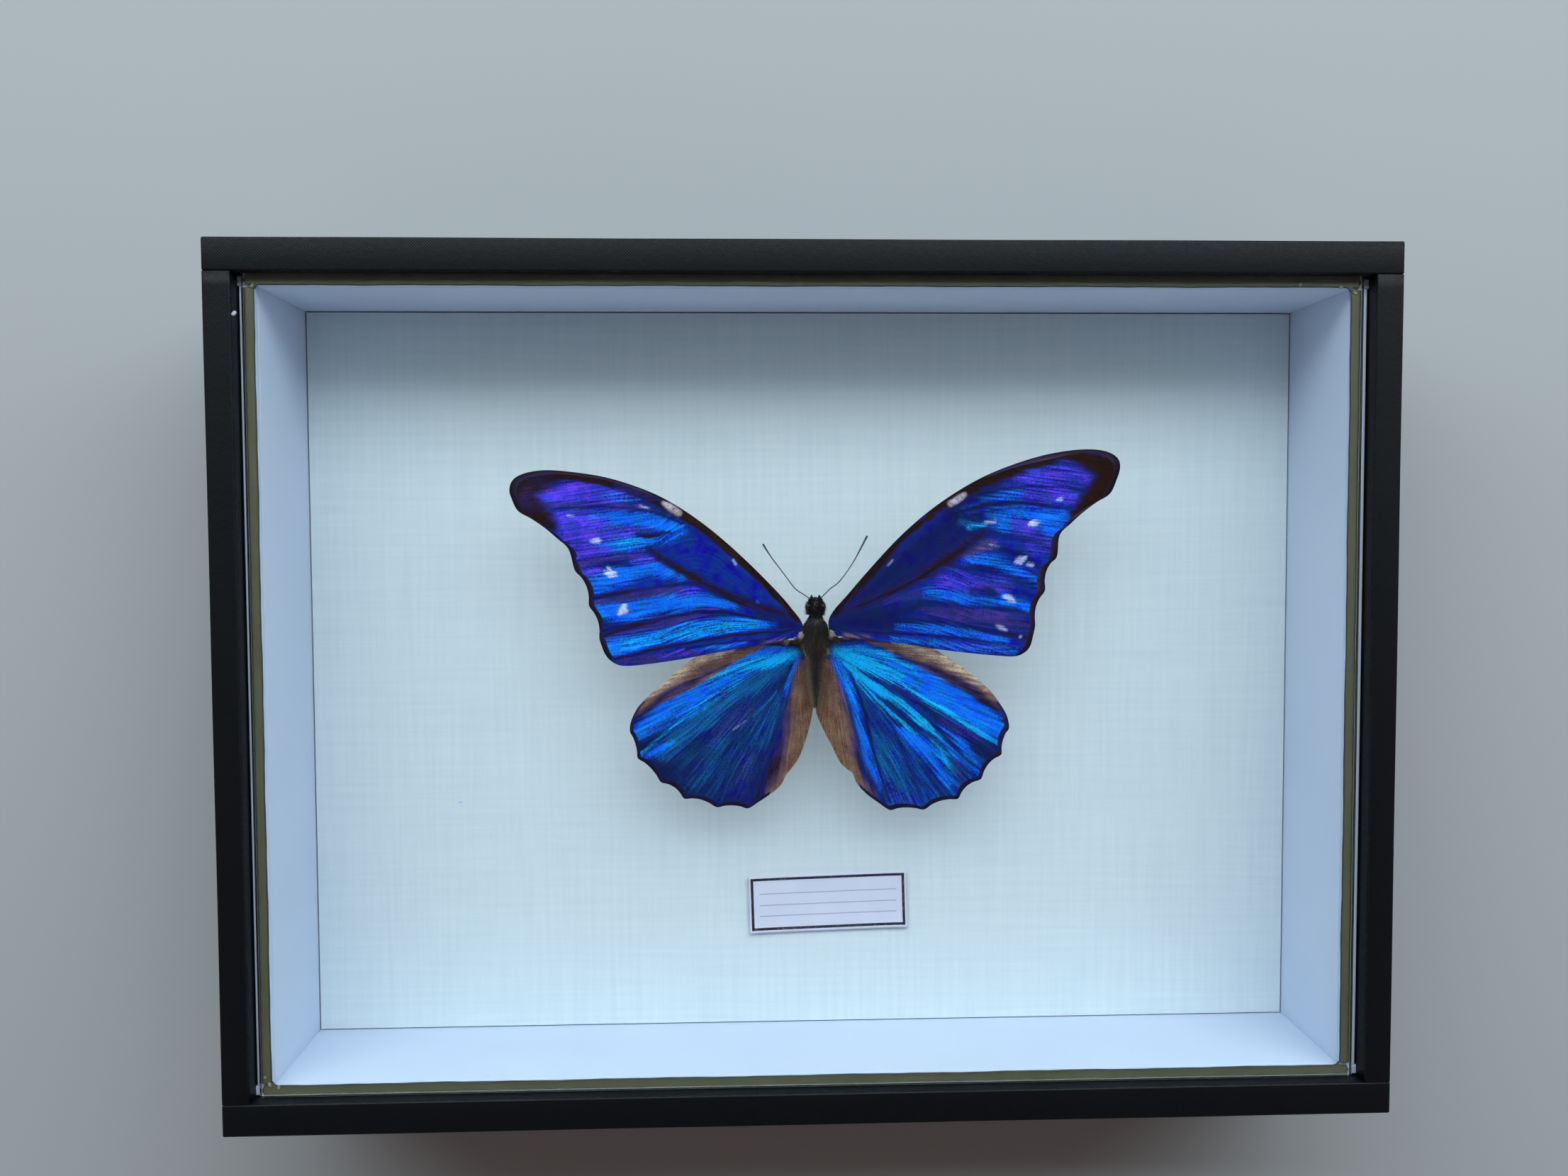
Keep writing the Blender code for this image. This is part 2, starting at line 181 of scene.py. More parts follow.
def wrapped_bar(name, low, high, radius, end_radius, wobble):
    """A bar between two corners with rounded edges, swept along its longer level side.

    Its section is a rectangle with quarter-circle corners. The section starts as a point in the end
    face, grows to the face, comes round the end edge on a quarter circle of end_radius, and runs
    straight to the other end. wobble bows the long faces in and out by a slow sine, as a hand-glued
    sheet does. The uv is the distance along the bar and the distance round the section.
    """
    low, high = np.array(low, float), np.array(high, float)
    along = 0 if high[0] - low[0] > high[1] - low[1] else 1
    across = 1 - along
    half = (high - low) / 2
    core_a, core_b = half[across] - radius, half[2] - radius
    corner = np.linspace(0, math.pi / 2, 5)
    turn = np.concatenate([corner + k * math.pi / 2 for k in range(4)])
    sign_a = np.repeat([1, -1, -1, 1], 5)
    sign_b = np.repeat([1, 1, -1, -1], 5)
    turn, sign_a, sign_b = [np.append(v, v[0]) for v in (turn, sign_a, sign_b)]
    edge = np.linspace(0, math.pi / 2, 4)
    middle = np.linspace(-half[along] + end_radius, half[along] - end_radius, 60)
    station = np.concatenate([[-half[along]], -half[along] + end_radius * (1 - np.cos(edge)), middle[1:-1],
                              half[along] - end_radius * (1 - np.cos(edge[::-1])), [half[along]]])
    grow = np.concatenate([[0], np.ones(len(station) - 2), [0]])
    rounding = radius - end_radius * (1 - np.sin(edge))
    offset = np.concatenate([[0], rounding, np.full(len(middle) - 2, radius), rounding[::-1], [0]])
    slow = wobble * np.sin(station / 0.021 + low[0] * 70) * np.sin(station / 0.034)
    offset = offset + slow * (grow * (offset > radius * 0.99))
    spread_a = grow[:, None] * sign_a * core_a + offset[:, None] * np.cos(turn)
    spread_b = grow[:, None] * sign_b * core_b + offset[:, None] * np.sin(turn)
    grid = np.zeros((len(station), len(turn), 3))
    centre = (low + high) / 2
    grid[..., along] = centre[along] + station[:, None]
    grid[..., across] = centre[across] + spread_a
    grid[..., 2] = centre[2] + spread_b
    section = np.hypot(np.diff(sign_a * core_a + radius * np.cos(turn)),
                       np.diff(sign_b * core_b + radius * np.sin(turn)))
    round_it = np.concatenate([[0], np.cumsum(section)])
    uv = np.stack(np.broadcast_arrays(station[:, None], round_it[None, :]), -1)
    rim = np.minimum(1.0, np.abs(np.sin(2 * turn)) * 1.2)[None, :] * grow[:, None]
    return solid_mesh(name, grid, uv, {"rim": rim})


def replace_bar(node, radius, end_radius, material, wobble, close):
    """A wrapped bar in the place of a CAD bar, longer by close at both ends to meet its neighbours."""
    low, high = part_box(node)
    along = 0 if high.x - low.x > high.y - low.y else 1
    low[along] -= close
    high[along] += close
    piece = new_piece(node + "_shape", wrapped_bar(node, low, high, radius, end_radius, wobble), material)
    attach(piece, "root")
    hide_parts(node)
    return piece


book_cloth, tree, shader = new_material("black_linen_grained_book_cloth_paper")
sheet = add(tree, "UVMap", {"uv_map": "sheet"})
across_sheet = add(tree, "SeparateXYZ", inputs={0: sheet.outputs[0]})
# One wave of the sine is one thread.
THREAD_GAP = 0.62 * MM
threads = []
for axis in ("X", "Y"):
    turns = add(tree, "Math", {"operation": "MULTIPLY"}, {0: across_sheet.outputs[axis],
                                                          1: math.tau / THREAD_GAP})
    threads.append(add(tree, "Math", {"operation": "SINE"}, {0: turns.outputs[0]}).outputs[0])
weave = add(tree, "Math", {"operation": "MULTIPLY"}, {0: threads[0], 1: threads[1]})
place = add(tree, "TexCoord").outputs["Object"]
fibres = add(tree, "TexNoise", inputs={"Vector": place, "Scale": 900.0, "Detail": 3.0})
patches = add(tree, "TexNoise", inputs={"Vector": place, "Scale": 45.0, "Detail": 2.0})
grain = add(tree, "Math", {"operation": "MULTIPLY_ADD"}, {0: weave.outputs[0], 1: 0.35,
                                                         2: fibres.outputs["Fac"]})
raised = add(tree, "MapRange", inputs={"Value": grain.outputs[0], "From Min": 0.2, "From Max": 0.95})
cloth = add(tree, "Mix", {"data_type": "RGBA"}, {0: raised.outputs[0], 6: linear("#010409"),
                                                 7: linear("#0e141b")})
worn_patches = add(tree, "MapRange", inputs={"Value": patches.outputs["Fac"], "From Min": 0.4,
                                             "From Max": 0.75, "To Max": 0.5})
faded = add(tree, "Mix", {"data_type": "RGBA"}, {0: worn_patches.outputs[0], 6: cloth.outputs[2],
                                                 7: linear("#0b0f14")})
rim = add(tree, "Attribute", {"attribute_name": "rim"})
rubbed = add(tree, "Math", {"operation": "MULTIPLY"}, {0: rim.outputs["Fac"], 1: fibres.outputs["Fac"]})
edge_wear = add(tree, "MapRange", inputs={"Value": rubbed.outputs[0], "From Min": 0.3, "From Max": 0.7,
                                          "To Max": 0.35})
worn = add(tree, "Mix", {"data_type": "RGBA"}, {0: edge_wear.outputs[0], 6: faded.outputs[2],
                                                7: linear("#2b2f31")})
gloss = add(tree, "MapRange", inputs={"Value": raised.outputs[0], "To Min": 0.54, "To Max": 0.38})
relief = add(tree, "Bump", inputs={"Height": grain.outputs[0], "Strength": 0.5, "Distance": 0.08 * MM})
wire(tree, shader, {"Base Color": worn.outputs[2], "Roughness": gloss.outputs[0], "Specular IOR Level": 0.3,
                    "Normal": relief.outputs[0]})
for layer in ("lid_rail", "base_wall"):
    for side in ("top", "bottom", "left", "right"):
        long_side = side in ("top", "bottom")
        replace_bar(f"{layer}_{side}", 0.45 * MM, (0.4 if long_side else 0.05) * MM, book_cloth,
                    0.05 * MM, (0.0 if long_side else 0.27) * MM)


# The inside of the box: smooth white card walls that stand up into the lid, with a folded top edge,
# and above them the strips of the same card that the pane lies on.
white_card, tree, shader = new_material("smooth_white_card")
place = add(tree, "TexCoord").outputs["Object"]
pulp = add(tree, "TexNoise", inputs={"Vector": place, "Scale": 700.0, "Detail": 4.0})
cloudy = add(tree, "TexNoise", inputs={"Vector": place, "Scale": 28.0, "Detail": 2.0})
tone = add(tree, "Mix", {"data_type": "RGBA"}, {0: cloudy.outputs["Fac"], 6: linear("#c6d2e7"),
                                                7: linear("#d0dbee")})
relief = add(tree, "Bump", inputs={"Height": pulp.outputs["Fac"], "Strength": 0.15, "Distance": 0.05 * MM})
wire(tree, shader, {"Base Color": tone.outputs[2], "Roughness": 0.75, "Specular IOR Level": 0.3,
                    "Normal": relief.outputs[0]})
for side in ("top", "bottom", "left", "right"):
    replace_bar(f"liner_{side}", 0.45 * MM, 0.05 * MM, white_card, 0.0, 0.27 * MM)
    replace_bar(f"lid_ledge_{side}", 0.35 * MM, 0.05 * MM, white_card, 0.0, 0.27 * MM)


# The card that the specimen lies over: matt white card embossed with a fine canvas weave, laid on
# foam, with long slubs along both directions.
CANVAS_GAP = 0.9 * MM
canvas_card, tree, shader = new_material("canvas_embossed_white_card")
place = add(tree, "TexCoord").outputs["Object"]
split = add(tree, "SeparateXYZ", inputs={0: place})
cords = []
for axis in ("X", "Y"):
    turns = add(tree, "Math", {"operation": "MULTIPLY"}, {0: split.outputs[axis], 1: math.tau / CANVAS_GAP})
    cords.append(add(tree, "Math", {"operation": "SINE"}, {0: turns.outputs[0]}).outputs[0])
weave = add(tree, "Math", {"operation": "MULTIPLY"}, {0: cords[0], 1: cords[1]})
slubs = []
for stretch in ((30.0, 900.0, 1.0), (900.0, 30.0, 1.0)):
    pulled = add(tree, "Mapping", inputs={"Vector": place, "Scale": stretch})
    slubs.append(add(tree, "TexNoise", inputs={"Vector": pulled.outputs[0], "Scale": 1.0}).outputs["Fac"])
slub = add(tree, "Math", {"operation": "ADD"}, {0: slubs[0], 1: slubs[1]})
cloth_height = add(tree, "Math", {"operation": "MULTIPLY_ADD"}, {0: weave.outputs[0], 1: 0.25,
                                                                2: slub.outputs[0]})
relief = add(tree, "Bump", inputs={"Height": cloth_height.outputs[0], "Strength": 0.35,
                                   "Distance": 0.08 * MM})
low_ground = add(tree, "MapRange", inputs={"Value": cloth_height.outputs[0], "From Min": 0.6,
                                           "From Max": 1.4})
tone = add(tree, "Mix", {"data_type": "RGBA"}, {0: low_ground.outputs[0], 6: linear("#cfdbe2"),
                                                7: linear("#dbe5ea")})
wire(tree, shader, {"Base Color": tone.outputs[2], "Roughness": 0.85, "Specular IOR Level": 0.25,
                    "Normal": relief.outputs[0]})
nodes["background_card"].data.materials[0] = canvas_card


# The gummed paper tape under the edge of the pane: four strips of olive paper, darker along both
# edges, with rounded inside corners and an edge cut by hand.
def tape_strip(node, inward, corner):
    """A flat strip in a CAD node's box, a thin closed band whose inner edge wanders by 0.1 mm.

    Each point is the distance along the strip and the distance across it. In the corners a long strip
    widens by what a square corner has outside a quarter circle: corner less the root of corner
    squared less the square of what is left of it.
    """
    low, high = [np.array(v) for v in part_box(node)]
    along = 0 if high[0] - low[0] > high[1] - low[1] else 1
    across = 1 - along
    width = high[across] - low[across]
    length = high[along] - low[along]
    station = np.linspace(low[along], high[along], 640)
    from_end = np.minimum(station - low[along], high[along] - station) - 2.25 * MM
    left_over = np.clip(corner - from_end, 0, corner)
    fillet = np.where(from_end > 0, corner - np.sqrt(corner ** 2 - left_over ** 2), 0.0)
    phase = low[0] * 40 + low[1] * 70
    wander = sum(size * MM * np.sin(station / (period * MM) + phase * period)
                 for size, period in ((0.05, 7.3), (0.035, 2.9), (0.02, 1.1)))
    edge = width + fillet + np.where((station > low[along]) & (station < high[along]), wander, 0.0)
    section = np.array([0, 0.12, 0.3, 0.5, 0.7, 0.88, 1, 1, 0.88, 0.7, 0.5, 0.3, 0.12, 0, 0])
    height = np.array([1] * 7 + [0] * 7 + [1])
    grow = np.ones((len(station), 1))
    grow[0] = grow[-1] = 0
    reach = section[None, :] * edge[:, None]
    reach = np.where(grow > 0, reach, width / 2)
    outer = low[across] if inward > 0 else high[across]
    grid = np.zeros((len(station), len(section), 3))
    grid[..., along] = station[:, None]
    grid[..., across] = outer + inward * reach
    grid[..., 2] = np.where(grow > 0, low[2] + height[None, :] * (high[2] - low[2]), (low[2] + high[2]) / 2)
    uv = np.stack([np.broadcast_to(station[:, None], reach.shape), reach], -1)
    return solid_mesh(node, grid, uv, {"inner": np.clip(reach / edge[:, None], 0, 1)})


gummed_tape, tree, shader = new_material("olive_gummed_paper_tape")
place = add(tree, "TexCoord").outputs["Object"]
paper = add(tree, "TexNoise", inputs={"Vector": place, "Scale": 500.0, "Detail": 3.0})
stain = add(tree, "TexNoise", inputs={"Vector": place, "Scale": 120.0, "Detail": 3.0})
olive = add(tree, "Mix", {"data_type": "RGBA"}, {0: stain.outputs["Fac"], 6: linear("#44462f"),
                                                 7: linear("#58583f")})
inner = add(tree, "Attribute", {"attribute_name": "inner"})
middle = add(tree, "Math", {"operation": "SUBTRACT"}, {0: inner.outputs["Fac"], 1: 0.5})
to_edge = add(tree, "Math", {"operation": "ABSOLUTE"}, {0: middle.outputs[0]})
ragged = add(tree, "Math", {"operation": "MULTIPLY_ADD"}, {0: paper.outputs["Fac"], 1: 0.16,
                                                          2: to_edge.outputs[0]})
dark_edges = add(tree, "MapRange", {"interpolation_type": "SMOOTHSTEP"}, {"Value": ragged.outputs[0],
                                                                  "From Min": 0.40, "From Max": 0.52})
edged_olive = add(tree, "Mix", {"data_type": "RGBA"}, {0: dark_edges.outputs[0], 6: olive.outputs[2],
                                                   7: linear("#2b3230")})
dull = add(tree, "MapRange", inputs={"Value": paper.outputs["Fac"], "To Min": 0.45, "To Max": 0.7})
relief = add(tree, "Bump", inputs={"Height": paper.outputs["Fac"], "Strength": 0.3, "Distance": 0.05 * MM})
wire(tree, shader, {"Base Color": edged_olive.outputs[2], "Roughness": dull.outputs[0],
                    "Normal": relief.outputs[0]})
for side, inward, corner in (("top", -1, 1.2 * MM), ("bottom", 1, 1.2 * MM), ("left", 1, 0.0),
                             ("right", -1, 0.0)):
    node = f"pane_tape_{side}"
    piece = new_piece(node + "_shape", tape_strip(node, inward, corner), gummed_tape)
    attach(piece, "root")
    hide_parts(node)


# Crumbs of dried gum that have come off the tape and lie in the corners of the pane, lumps of 0.3 to
# 0.5 mm; and white flecks: a chip in the left rail that bares the board, and a grain on the card.
def crumbs(name, places, squash):
    """Balls of sines: each ball's radius swells and dips with three waves round it, flattened by squash."""
    pole = np.linspace(0, math.pi, 7)[:, None]
    round_it = np.linspace(0, 2 * math.pi, 11)[None, :]
    meshes = bmesh.new()
    for number, (x, y, z, size) in enumerate(places):
        swell = size * MM * (1 + 0.25 * np.sin(2 * round_it + number) * np.sin(pole)
                             + 0.2 * np.sin(3 * pole + number * 2))
        grid = np.stack(np.broadcast_arrays(swell * np.sin(pole) * np.cos(round_it) + x * MM,
                                            swell * np.sin(pole) * np.sin(round_it) + y * MM,
                                            swell * np.cos(pole) * squash + z * MM), -1)
        lump = solid_mesh("lump", grid)
        meshes.from_mesh(lump)
        bpy.data.meshes.remove(lump)
    mesh = bpy.data.meshes.new(name)
    meshes.to_mesh(mesh)
    meshes.free()
    mesh.shade_smooth()
    return mesh


dried_gum, tree, shader = new_material("dried_gum_crumbs")
speck = add(tree, "TexNoise", inputs={"Vector": add(tree, "TexCoord").outputs["Object"], "Scale": 1500.0})
tone = add(tree, "Mix", {"data_type": "RGBA"}, {0: speck.outputs["Fac"], 6: linear("#57553f"),
                                                7: linear("#9a9478")})
wire(tree, shader, {"Base Color": tone.outputs[2], "Roughness": 0.55})
loose = new_piece("gum_crumbs", crumbs("gum_crumbs", [
    (107.8, 88.4, 50.8, 0.45), (117.0, 87.9, 50.8, 0.4), (120.2, 86.6, 50.8, 0.35),
    (-121.3, -85.3, 50.8, 0.4), (-120.4, -87.0, 50.8, 0.5), (-118.4, -87.6, 50.8, 0.4),
    (-120.3, 87.6, 50.8, 0.45)], 0.35), dried_gum)
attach(loose, "root")
card_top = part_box("background_card")[1].z / MM
flecks = new_piece("white_flecks", crumbs("white_flecks", [
    (-123.3, 81.3, 53.92, 0.62), (-84.9, -31.4, card_top, 0.4)], 0.15), white_card)
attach(flecks, "root")


# The pane: clear 2 mm float glass, cut square, lying on the tape. It casts no shadow of its own, as
# clear glass hardly dims the light that goes through it.
picture_glass, tree, shader = new_material("clear_float_glass")
smears = add(tree, "TexNoise", inputs={"Vector": add(tree, "TexCoord").outputs["Object"], "Scale": 35.0,
                                       "Detail": 2.0})
clear = add(tree, "Mix", {"data_type": "RGBA"}, {0: smears.outputs["Fac"], 6: linear("#f9fdfc"),
                                                 7: linear("#ffffff")})
wire(tree, shader, {"Base Color": clear.outputs[2], "Roughness": 0.0, "IOR": 1.5,
                    "Transmission Weight": 1.0})
pane = nodes["glass_pane"]
pane.data.materials[0] = picture_glass
pane.visible_shadow = False


# The label: smooth white card with a printed border line and three ruled lines, a little lilac beside
# the canvas card. It lies loose and its edges have lifted slightly.
LABEL_MIDDLE = np.array([5.3, -57.4]) * MM
LABEL_TURN = math.radians(1.6)
LABEL_SIZE = np.array([39.1, 14.2]) * MM
label_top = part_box("label")[1].z
u, v = np.meshgrid(np.linspace(-0.5, 0.5, 80), np.linspace(-0.5, 0.5, 30))
u, v = u * LABEL_SIZE[0], v * LABEL_SIZE[1]
lift = 0.35 * MM * (np.abs(u) / LABEL_SIZE[0] * 2) ** 6 + 0.25 * MM * (np.abs(v) / LABEL_SIZE[1] * 2) ** 6
flat = np.stack([LABEL_MIDDLE[0] + u * math.cos(LABEL_TURN) - v * math.sin(LABEL_TURN),
                 LABEL_MIDDLE[1] + u * math.sin(LABEL_TURN) + v * math.cos(LABEL_TURN),
                 label_top + lift], -1)
faces = grid_faces(*flat.shape[:2])
label_mesh = bpy.data.meshes.new("label_shape")
label_mesh.from_pydata(flat.reshape(-1, 3), [], faces)
label_mesh.uv_layers.new(name="sheet").data.foreach_set(
    "uv", np.stack([u, v], -1).reshape(-1, 2)[faces.ravel()].ravel())
label_mesh.shade_smooth()

printed_card, tree, shader = new_material("printed_smooth_white_card")
spot = add(tree, "SeparateXYZ", inputs={0: add(tree, "UVMap", {"uv_map": "sheet"}).outputs[0]})
place = add(tree, "TexCoord").outputs["Object"]
ink_noise = add(tree, "TexNoise", inputs={"Vector": place, "Scale": 1600.0, "Detail": 2.0})
pulp = add(tree, "TexNoise", inputs={"Vector": place, "Scale": 160.0, "Detail": 3.0})
paper = add(tree, "Mix", {"data_type": "RGBA"}, {0: pulp.outputs["Fac"], 6: linear("#d0d0e6"),
                                                 7: linear("#dddcee")})
sides = [add(tree, "Math", {"operation": "ABSOLUTE"}, {0: spot.outputs[axis]}).outputs[0] for axis in "XY"]
# The border runs 18.75 mm and 6.2 mm from the label's middle, in a line 0.45 mm wide.
beyond = [add(tree, "Math", {"operation": "SUBTRACT"}, {0: side, 1: reach * MM}).outputs[0]
          for side, reach in zip(sides, (18.75, 6.2))]
outermost = add(tree, "Math", {"operation": "MAXIMUM"}, {0: beyond[0], 1: beyond[1]})
off_line = add(tree, "Math", {"operation": "ABSOLUTE"}, {0: outermost.outputs[0]})
border = add(tree, "MapRange", inputs={"Value": off_line.outputs[0], "From Min": 0.28 * MM,
                                       "From Max": 0.38 * MM, "To Min": 1.0, "To Max": 0.0})
ruled = None
for height in (2.55, -0.3, -3.0):
    off = add(tree, "Math", {"operation": "SUBTRACT"}, {0: spot.outputs["Y"], 1: height * MM})
    off = add(tree, "Math", {"operation": "ABSOLUTE"}, {0: off.outputs[0]})
    line = add(tree, "MapRange", inputs={"Value": off.outputs[0], "From Min": 0.06 * MM,
                                         "From Max": 0.2 * MM, "To Min": 0.75, "To Max": 0.0})
    ruled = line.outputs[0] if ruled is None else add(
        tree, "Math", {"operation": "MAXIMUM"}, {0: ruled, 1: line.outputs[0]}).outputs[0]
within = add(tree, "Math", {"operation": "LESS_THAN"}, {0: sides[0], 1: 17.0 * MM})
ruled = add(tree, "Math", {"operation": "MULTIPLY"}, {0: ruled, 1: within.outputs[0]})
lined = add(tree, "Mix", {"data_type": "RGBA"}, {0: ruled.outputs[0], 6: paper.outputs[2],
                                                 7: linear("#8f9bb4")})
patchy = add(tree, "MapRange", inputs={"Value": ink_noise.outputs["Fac"], "From Min": 0.2,
                                       "From Max": 0.5, "To Min": 0.8})
printed = add(tree, "Math", {"operation": "MULTIPLY"}, {0: border.outputs[0], 1: patchy.outputs[0]})
bordered = add(tree, "Mix", {"data_type": "RGBA"}, {0: printed.outputs[0], 6: lined.outputs[2],
                                                    7: linear("#14162a")})
dull = add(tree, "MapRange", inputs={"Value": printed.outputs[0], "To Min": 0.6, "To Max": 0.4})
relief = add(tree, "Bump", inputs={"Height": pulp.outputs["Fac"], "Strength": 0.1, "Distance": 0.05 * MM})
wire(tree, shader, {"Base Color": bordered.outputs[2], "Roughness": dull.outputs[0],
                    "Normal": relief.outputs[0]})
label = new_piece("label_shape", label_mesh, printed_card)
thick = label.modifiers.new("card", "SOLIDIFY")
thick.thickness = 0.3 * MM
thick.offset = -1.0
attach(label, "root")
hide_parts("label")


# The wings: dry sheets of chitin 0.1 mm thick, ribbed by their veins and covered in scales. The scales
# shine ultramarine, azure and violet; veins, leading edges and tips are brown-black, folds brown. They
# are thin enough to let daylight through, and leave a faint shadow on the card.
THORAX = np.array([1.4, 12.0, 34.8])
WING_ROWS = 150
UNDER_ROWS = 12


def smooth_line(points, steps):
    """A Catmull-Rom curve through rows of numbers: each span blends its four nearest rows by cubics."""
    points = np.array(points, float)
    ends = np.vstack([2 * points[0] - points[1], points, 2 * points[-1] - points[-2]])
    a, b, c, d = ends[:-3, None], ends[1:-2, None], ends[2:-1, None], ends[3:, None]
    t = np.linspace(0, 1, steps, endpoint=False)[None, :, None]
    curve = (b + t * (c - a) / 2 + t * t * (a - 2.5 * b + 2 * c - d / 2)
             + t ** 3 * (1.5 * (b - c) + (d - a) / 2))
    return np.vstack([curve.reshape(-1, points.shape[1]), points[-1]])


def waves(x, y, seed, lengths, count=9):
    """Smooth noise of -1 to 1: the mean of sines in random directions, with wavelengths in mm."""
    draw = np.random.default_rng(seed)
    total = np.zeros_like(x)
    for _ in range(count):
        turn, shift, length = draw.uniform(0, math.tau), draw.uniform(0, math.tau), draw.uniform(*lengths)
        total += np.sin((x * math.cos(turn) + y * math.sin(turn)) * math.tau / length + shift)
    return total / math.sqrt(count) / 1.2


def stroke(x, y, points, widths, soft, steps):
    """How far each place lies inside a brush stroke, from 1 inside to 0 outside.

    The stroke follows a smooth line through the points, its width changes along it as widths do, and
    its edge fades by a smooth step over soft mm. The distance is to the nearest span of the line.
    """
    if len(points) == 1:
        points = [points[0], (points[0][0] + 0.01, points[0][1])]
    widths = np.interp(np.linspace(0, 1, len(points)), np.linspace(0, 1, len(widths)), widths)
    line = smooth_line(np.column_stack([points, widths / 2]), steps)
    reach = line[:, 2].max() + soft
    near = ((x > line[:, 0].min() - reach) & (x < line[:, 0].max() + reach)
            & (y > line[:, 1].min() - reach) & (y < line[:, 1].max() + reach))
    amount = np.zeros_like(x)
    px, py = x[near][:, None], y[near][:, None]
    start, span = line[:-1], np.diff(line, axis=0)
    along = ((px - start[:, 0]) * span[:, 0] + (py - start[:, 1]) * span[:, 1]) / (
        span[:, 0] ** 2 + span[:, 1] ** 2 + 1e-12)
    along = np.clip(along, 0, 1)
    gap = np.hypot(px - start[:, 0] - along * span[:, 0], py - start[:, 1] - along * span[:, 1])
    depth = (start[:, 2] + along * span[:, 2] - gap).max(axis=1)
    step = np.clip(depth / soft + 0.5, 0, 1)
    amount[near] = step * step * (3 - 2 * step)
    return amount


def wing_mesh(name, root, side, lift, tilt, strokes, fold, tuck, seed):
    """A wing over the CAD plate's outline, with its markings as values from 0 to 1 at each point.

    The outline is the plate's corners in order round the root, joined by a smooth line. A point of the
    upper face is a share t of the way from the root to the outline; the lower face goes back again.
    Its height is the tilted plane, plus pleats that are sines of the angle and grow as t squared, plus
    a low ridge along every dark stroke, less fold, the drop of the hindwing's inner edge beside the body.
    tuck moves a hindwing's leading edge forwards under the forewing by a bell curve round 20 mm out.
    """
    plate = nodes[name].data
    corners = np.empty(len(plate.vertices) * 3)
    plate.vertices.foreach_get("co", corners)
    facing = np.empty(len(plate.polygons) * 3)
    plate.polygons.foreach_get("normal", facing)
    upper = facing.reshape(-1, 3)[:, 2] > 0.5
    corners = corners.reshape(-1, 3, 3)[upper].reshape(-1, 3)
    local = np.unique(np.round((corners[:, :2] * 1000 - THORAX[:2]) * [side, 1], 3), axis=0)
    local = local[np.argsort(np.arctan2(local[:, 1] - root[1], local[:, 0] - root[0]))]
    ring = smooth_line(np.vstack([local[-1:], local, local[:2]]), 8)[8:-8]
    ring[-1] = ring[0]
    ring[:, 1] += tuck * np.exp(-((ring[:, 0] - 20) / 13) ** 2) * (ring[:, 1] > -3.4 - 0.45 * ring[:, 0])
    share = np.linspace(0, 1, WING_ROWS) ** 0.85
    top = root + share[:, None, None] * (ring - root)
    back = np.linspace(1, 0, UNDER_ROWS)[1:] ** 0.85
    under = root + back[:, None, None] * (ring - root)
    x, y = top[..., 0], top[..., 1]
    angle = np.unwrap(np.arctan2(ring[:, 1] - root[1], ring[:, 0] - root[0]))[None, :]
    rim = np.linalg.norm(ring - root, axis=-1)
    # The scales lie in rows along the rays from the root; on a forewing they turn level further out.
    # Soft strokes are pulled across the rows by noise that is long along them; hard ones only wander.
    level = np.clip((x - 14) / 22, 0, 1) ** 1.5 * (1 if fold == 0 else 0)
    rows = angle * 30 * (1 - level) + (1.1 * y + 0.14 * x) * level
    pulled = 0.42 * waves(rows, share[:, None] * rim * 0.12, seed, (0.8, 3.0))
    soft_x = x - pulled * (np.sin(angle) * (1 - level) - 0.12 * level)
    soft_y = y + pulled * (np.cos(angle) * (1 - level) + level)
    firm_x, firm_y = x + 0.1 * waves(x, y, seed, (2.5, 7.0)), y + 0.1 * waves(x, y, seed + 1, (2.5, 7.0))
    values = {key: np.zeros_like(x) for key in ("azure", "cyan", "teal", "violet", "navy", "plum", "umber",
                                                "bark", "tan", "pearl")}
    ridge = np.zeros_like(x)
    for colour, widths, soft, strength, points in strokes:
        if isinstance(points, tuple):
            part = (angle[0] > math.radians(points[0])) & (angle[0] < math.radians(points[1]))
            amount = stroke(x, y, ring[part][::3], np.array(widths) * 2, soft, 1)
        elif soft < 0.9:
            amount = stroke(firm_x, firm_y, points, widths, soft, 6)
        else:
            amount = stroke(soft_x, soft_y, points, widths, soft * 1.6, 6)
        amount = amount * strength
        for key in values:
            values[key] *= 1 - amount
        values[colour] += amount
        if colour in ("navy", "umber") and max(widths) < 1.2:
            ridge = np.maximum(ridge, amount)
    grids, masks = [], {key: [] for key in values}
    for part, t, face in ((top, share[:, None], 1.0), (under, back[:, None], -1.0)):
        px, py = part[..., 0], part[..., 1]
        pleats = 0.16 * t * t * np.sin(angle * 34) + 0.10 * t * np.sin(angle * 13 + seed)
        sag = fold * np.clip(1 - (px - 0.5) / 8, 0, 1) ** 2 * np.clip(-(py + 9) / 12, 0, 1)
        thick = 0.07 * (1 - t ** 8) + 0.02
        z = (THORAX[2] + lift + px * math.tan(tilt) + pleats - sag + face * thick
             + 0.25 * waves(px, py, seed + 2, (14, 40)) * t)
        if face > 0:
            z = z + 0.07 * ridge
        grids.append(np.stack([THORAX[0] + side * px, THORAX[1] + py, z], -1))
        for key in values:
            masks[key].append(values[key] if face > 0 else np.zeros_like(px))
    grid = np.vstack(grids) * MM
    values = {key: np.vstack(parts) for key, parts in masks.items()}
    values["under"] = np.vstack([np.zeros_like(x), np.ones_like(under[..., 0])])
    arc = rows, np.broadcast_to(angle * 30, under.shape[:2])
    out = share[:, None] * rim, back[:, None] * rim
    uv = np.stack([np.vstack(arc), np.vstack(out)], -1)
    return solid_mesh(name, grid, uv, values)


morpho_scales, tree, shader = new_material("iridescent_blue_wing_scales")
place = add(tree, "TexCoord").outputs["Object"]
ray = add(tree, "UVMap", {"uv_map": "sheet"}).outputs[0]
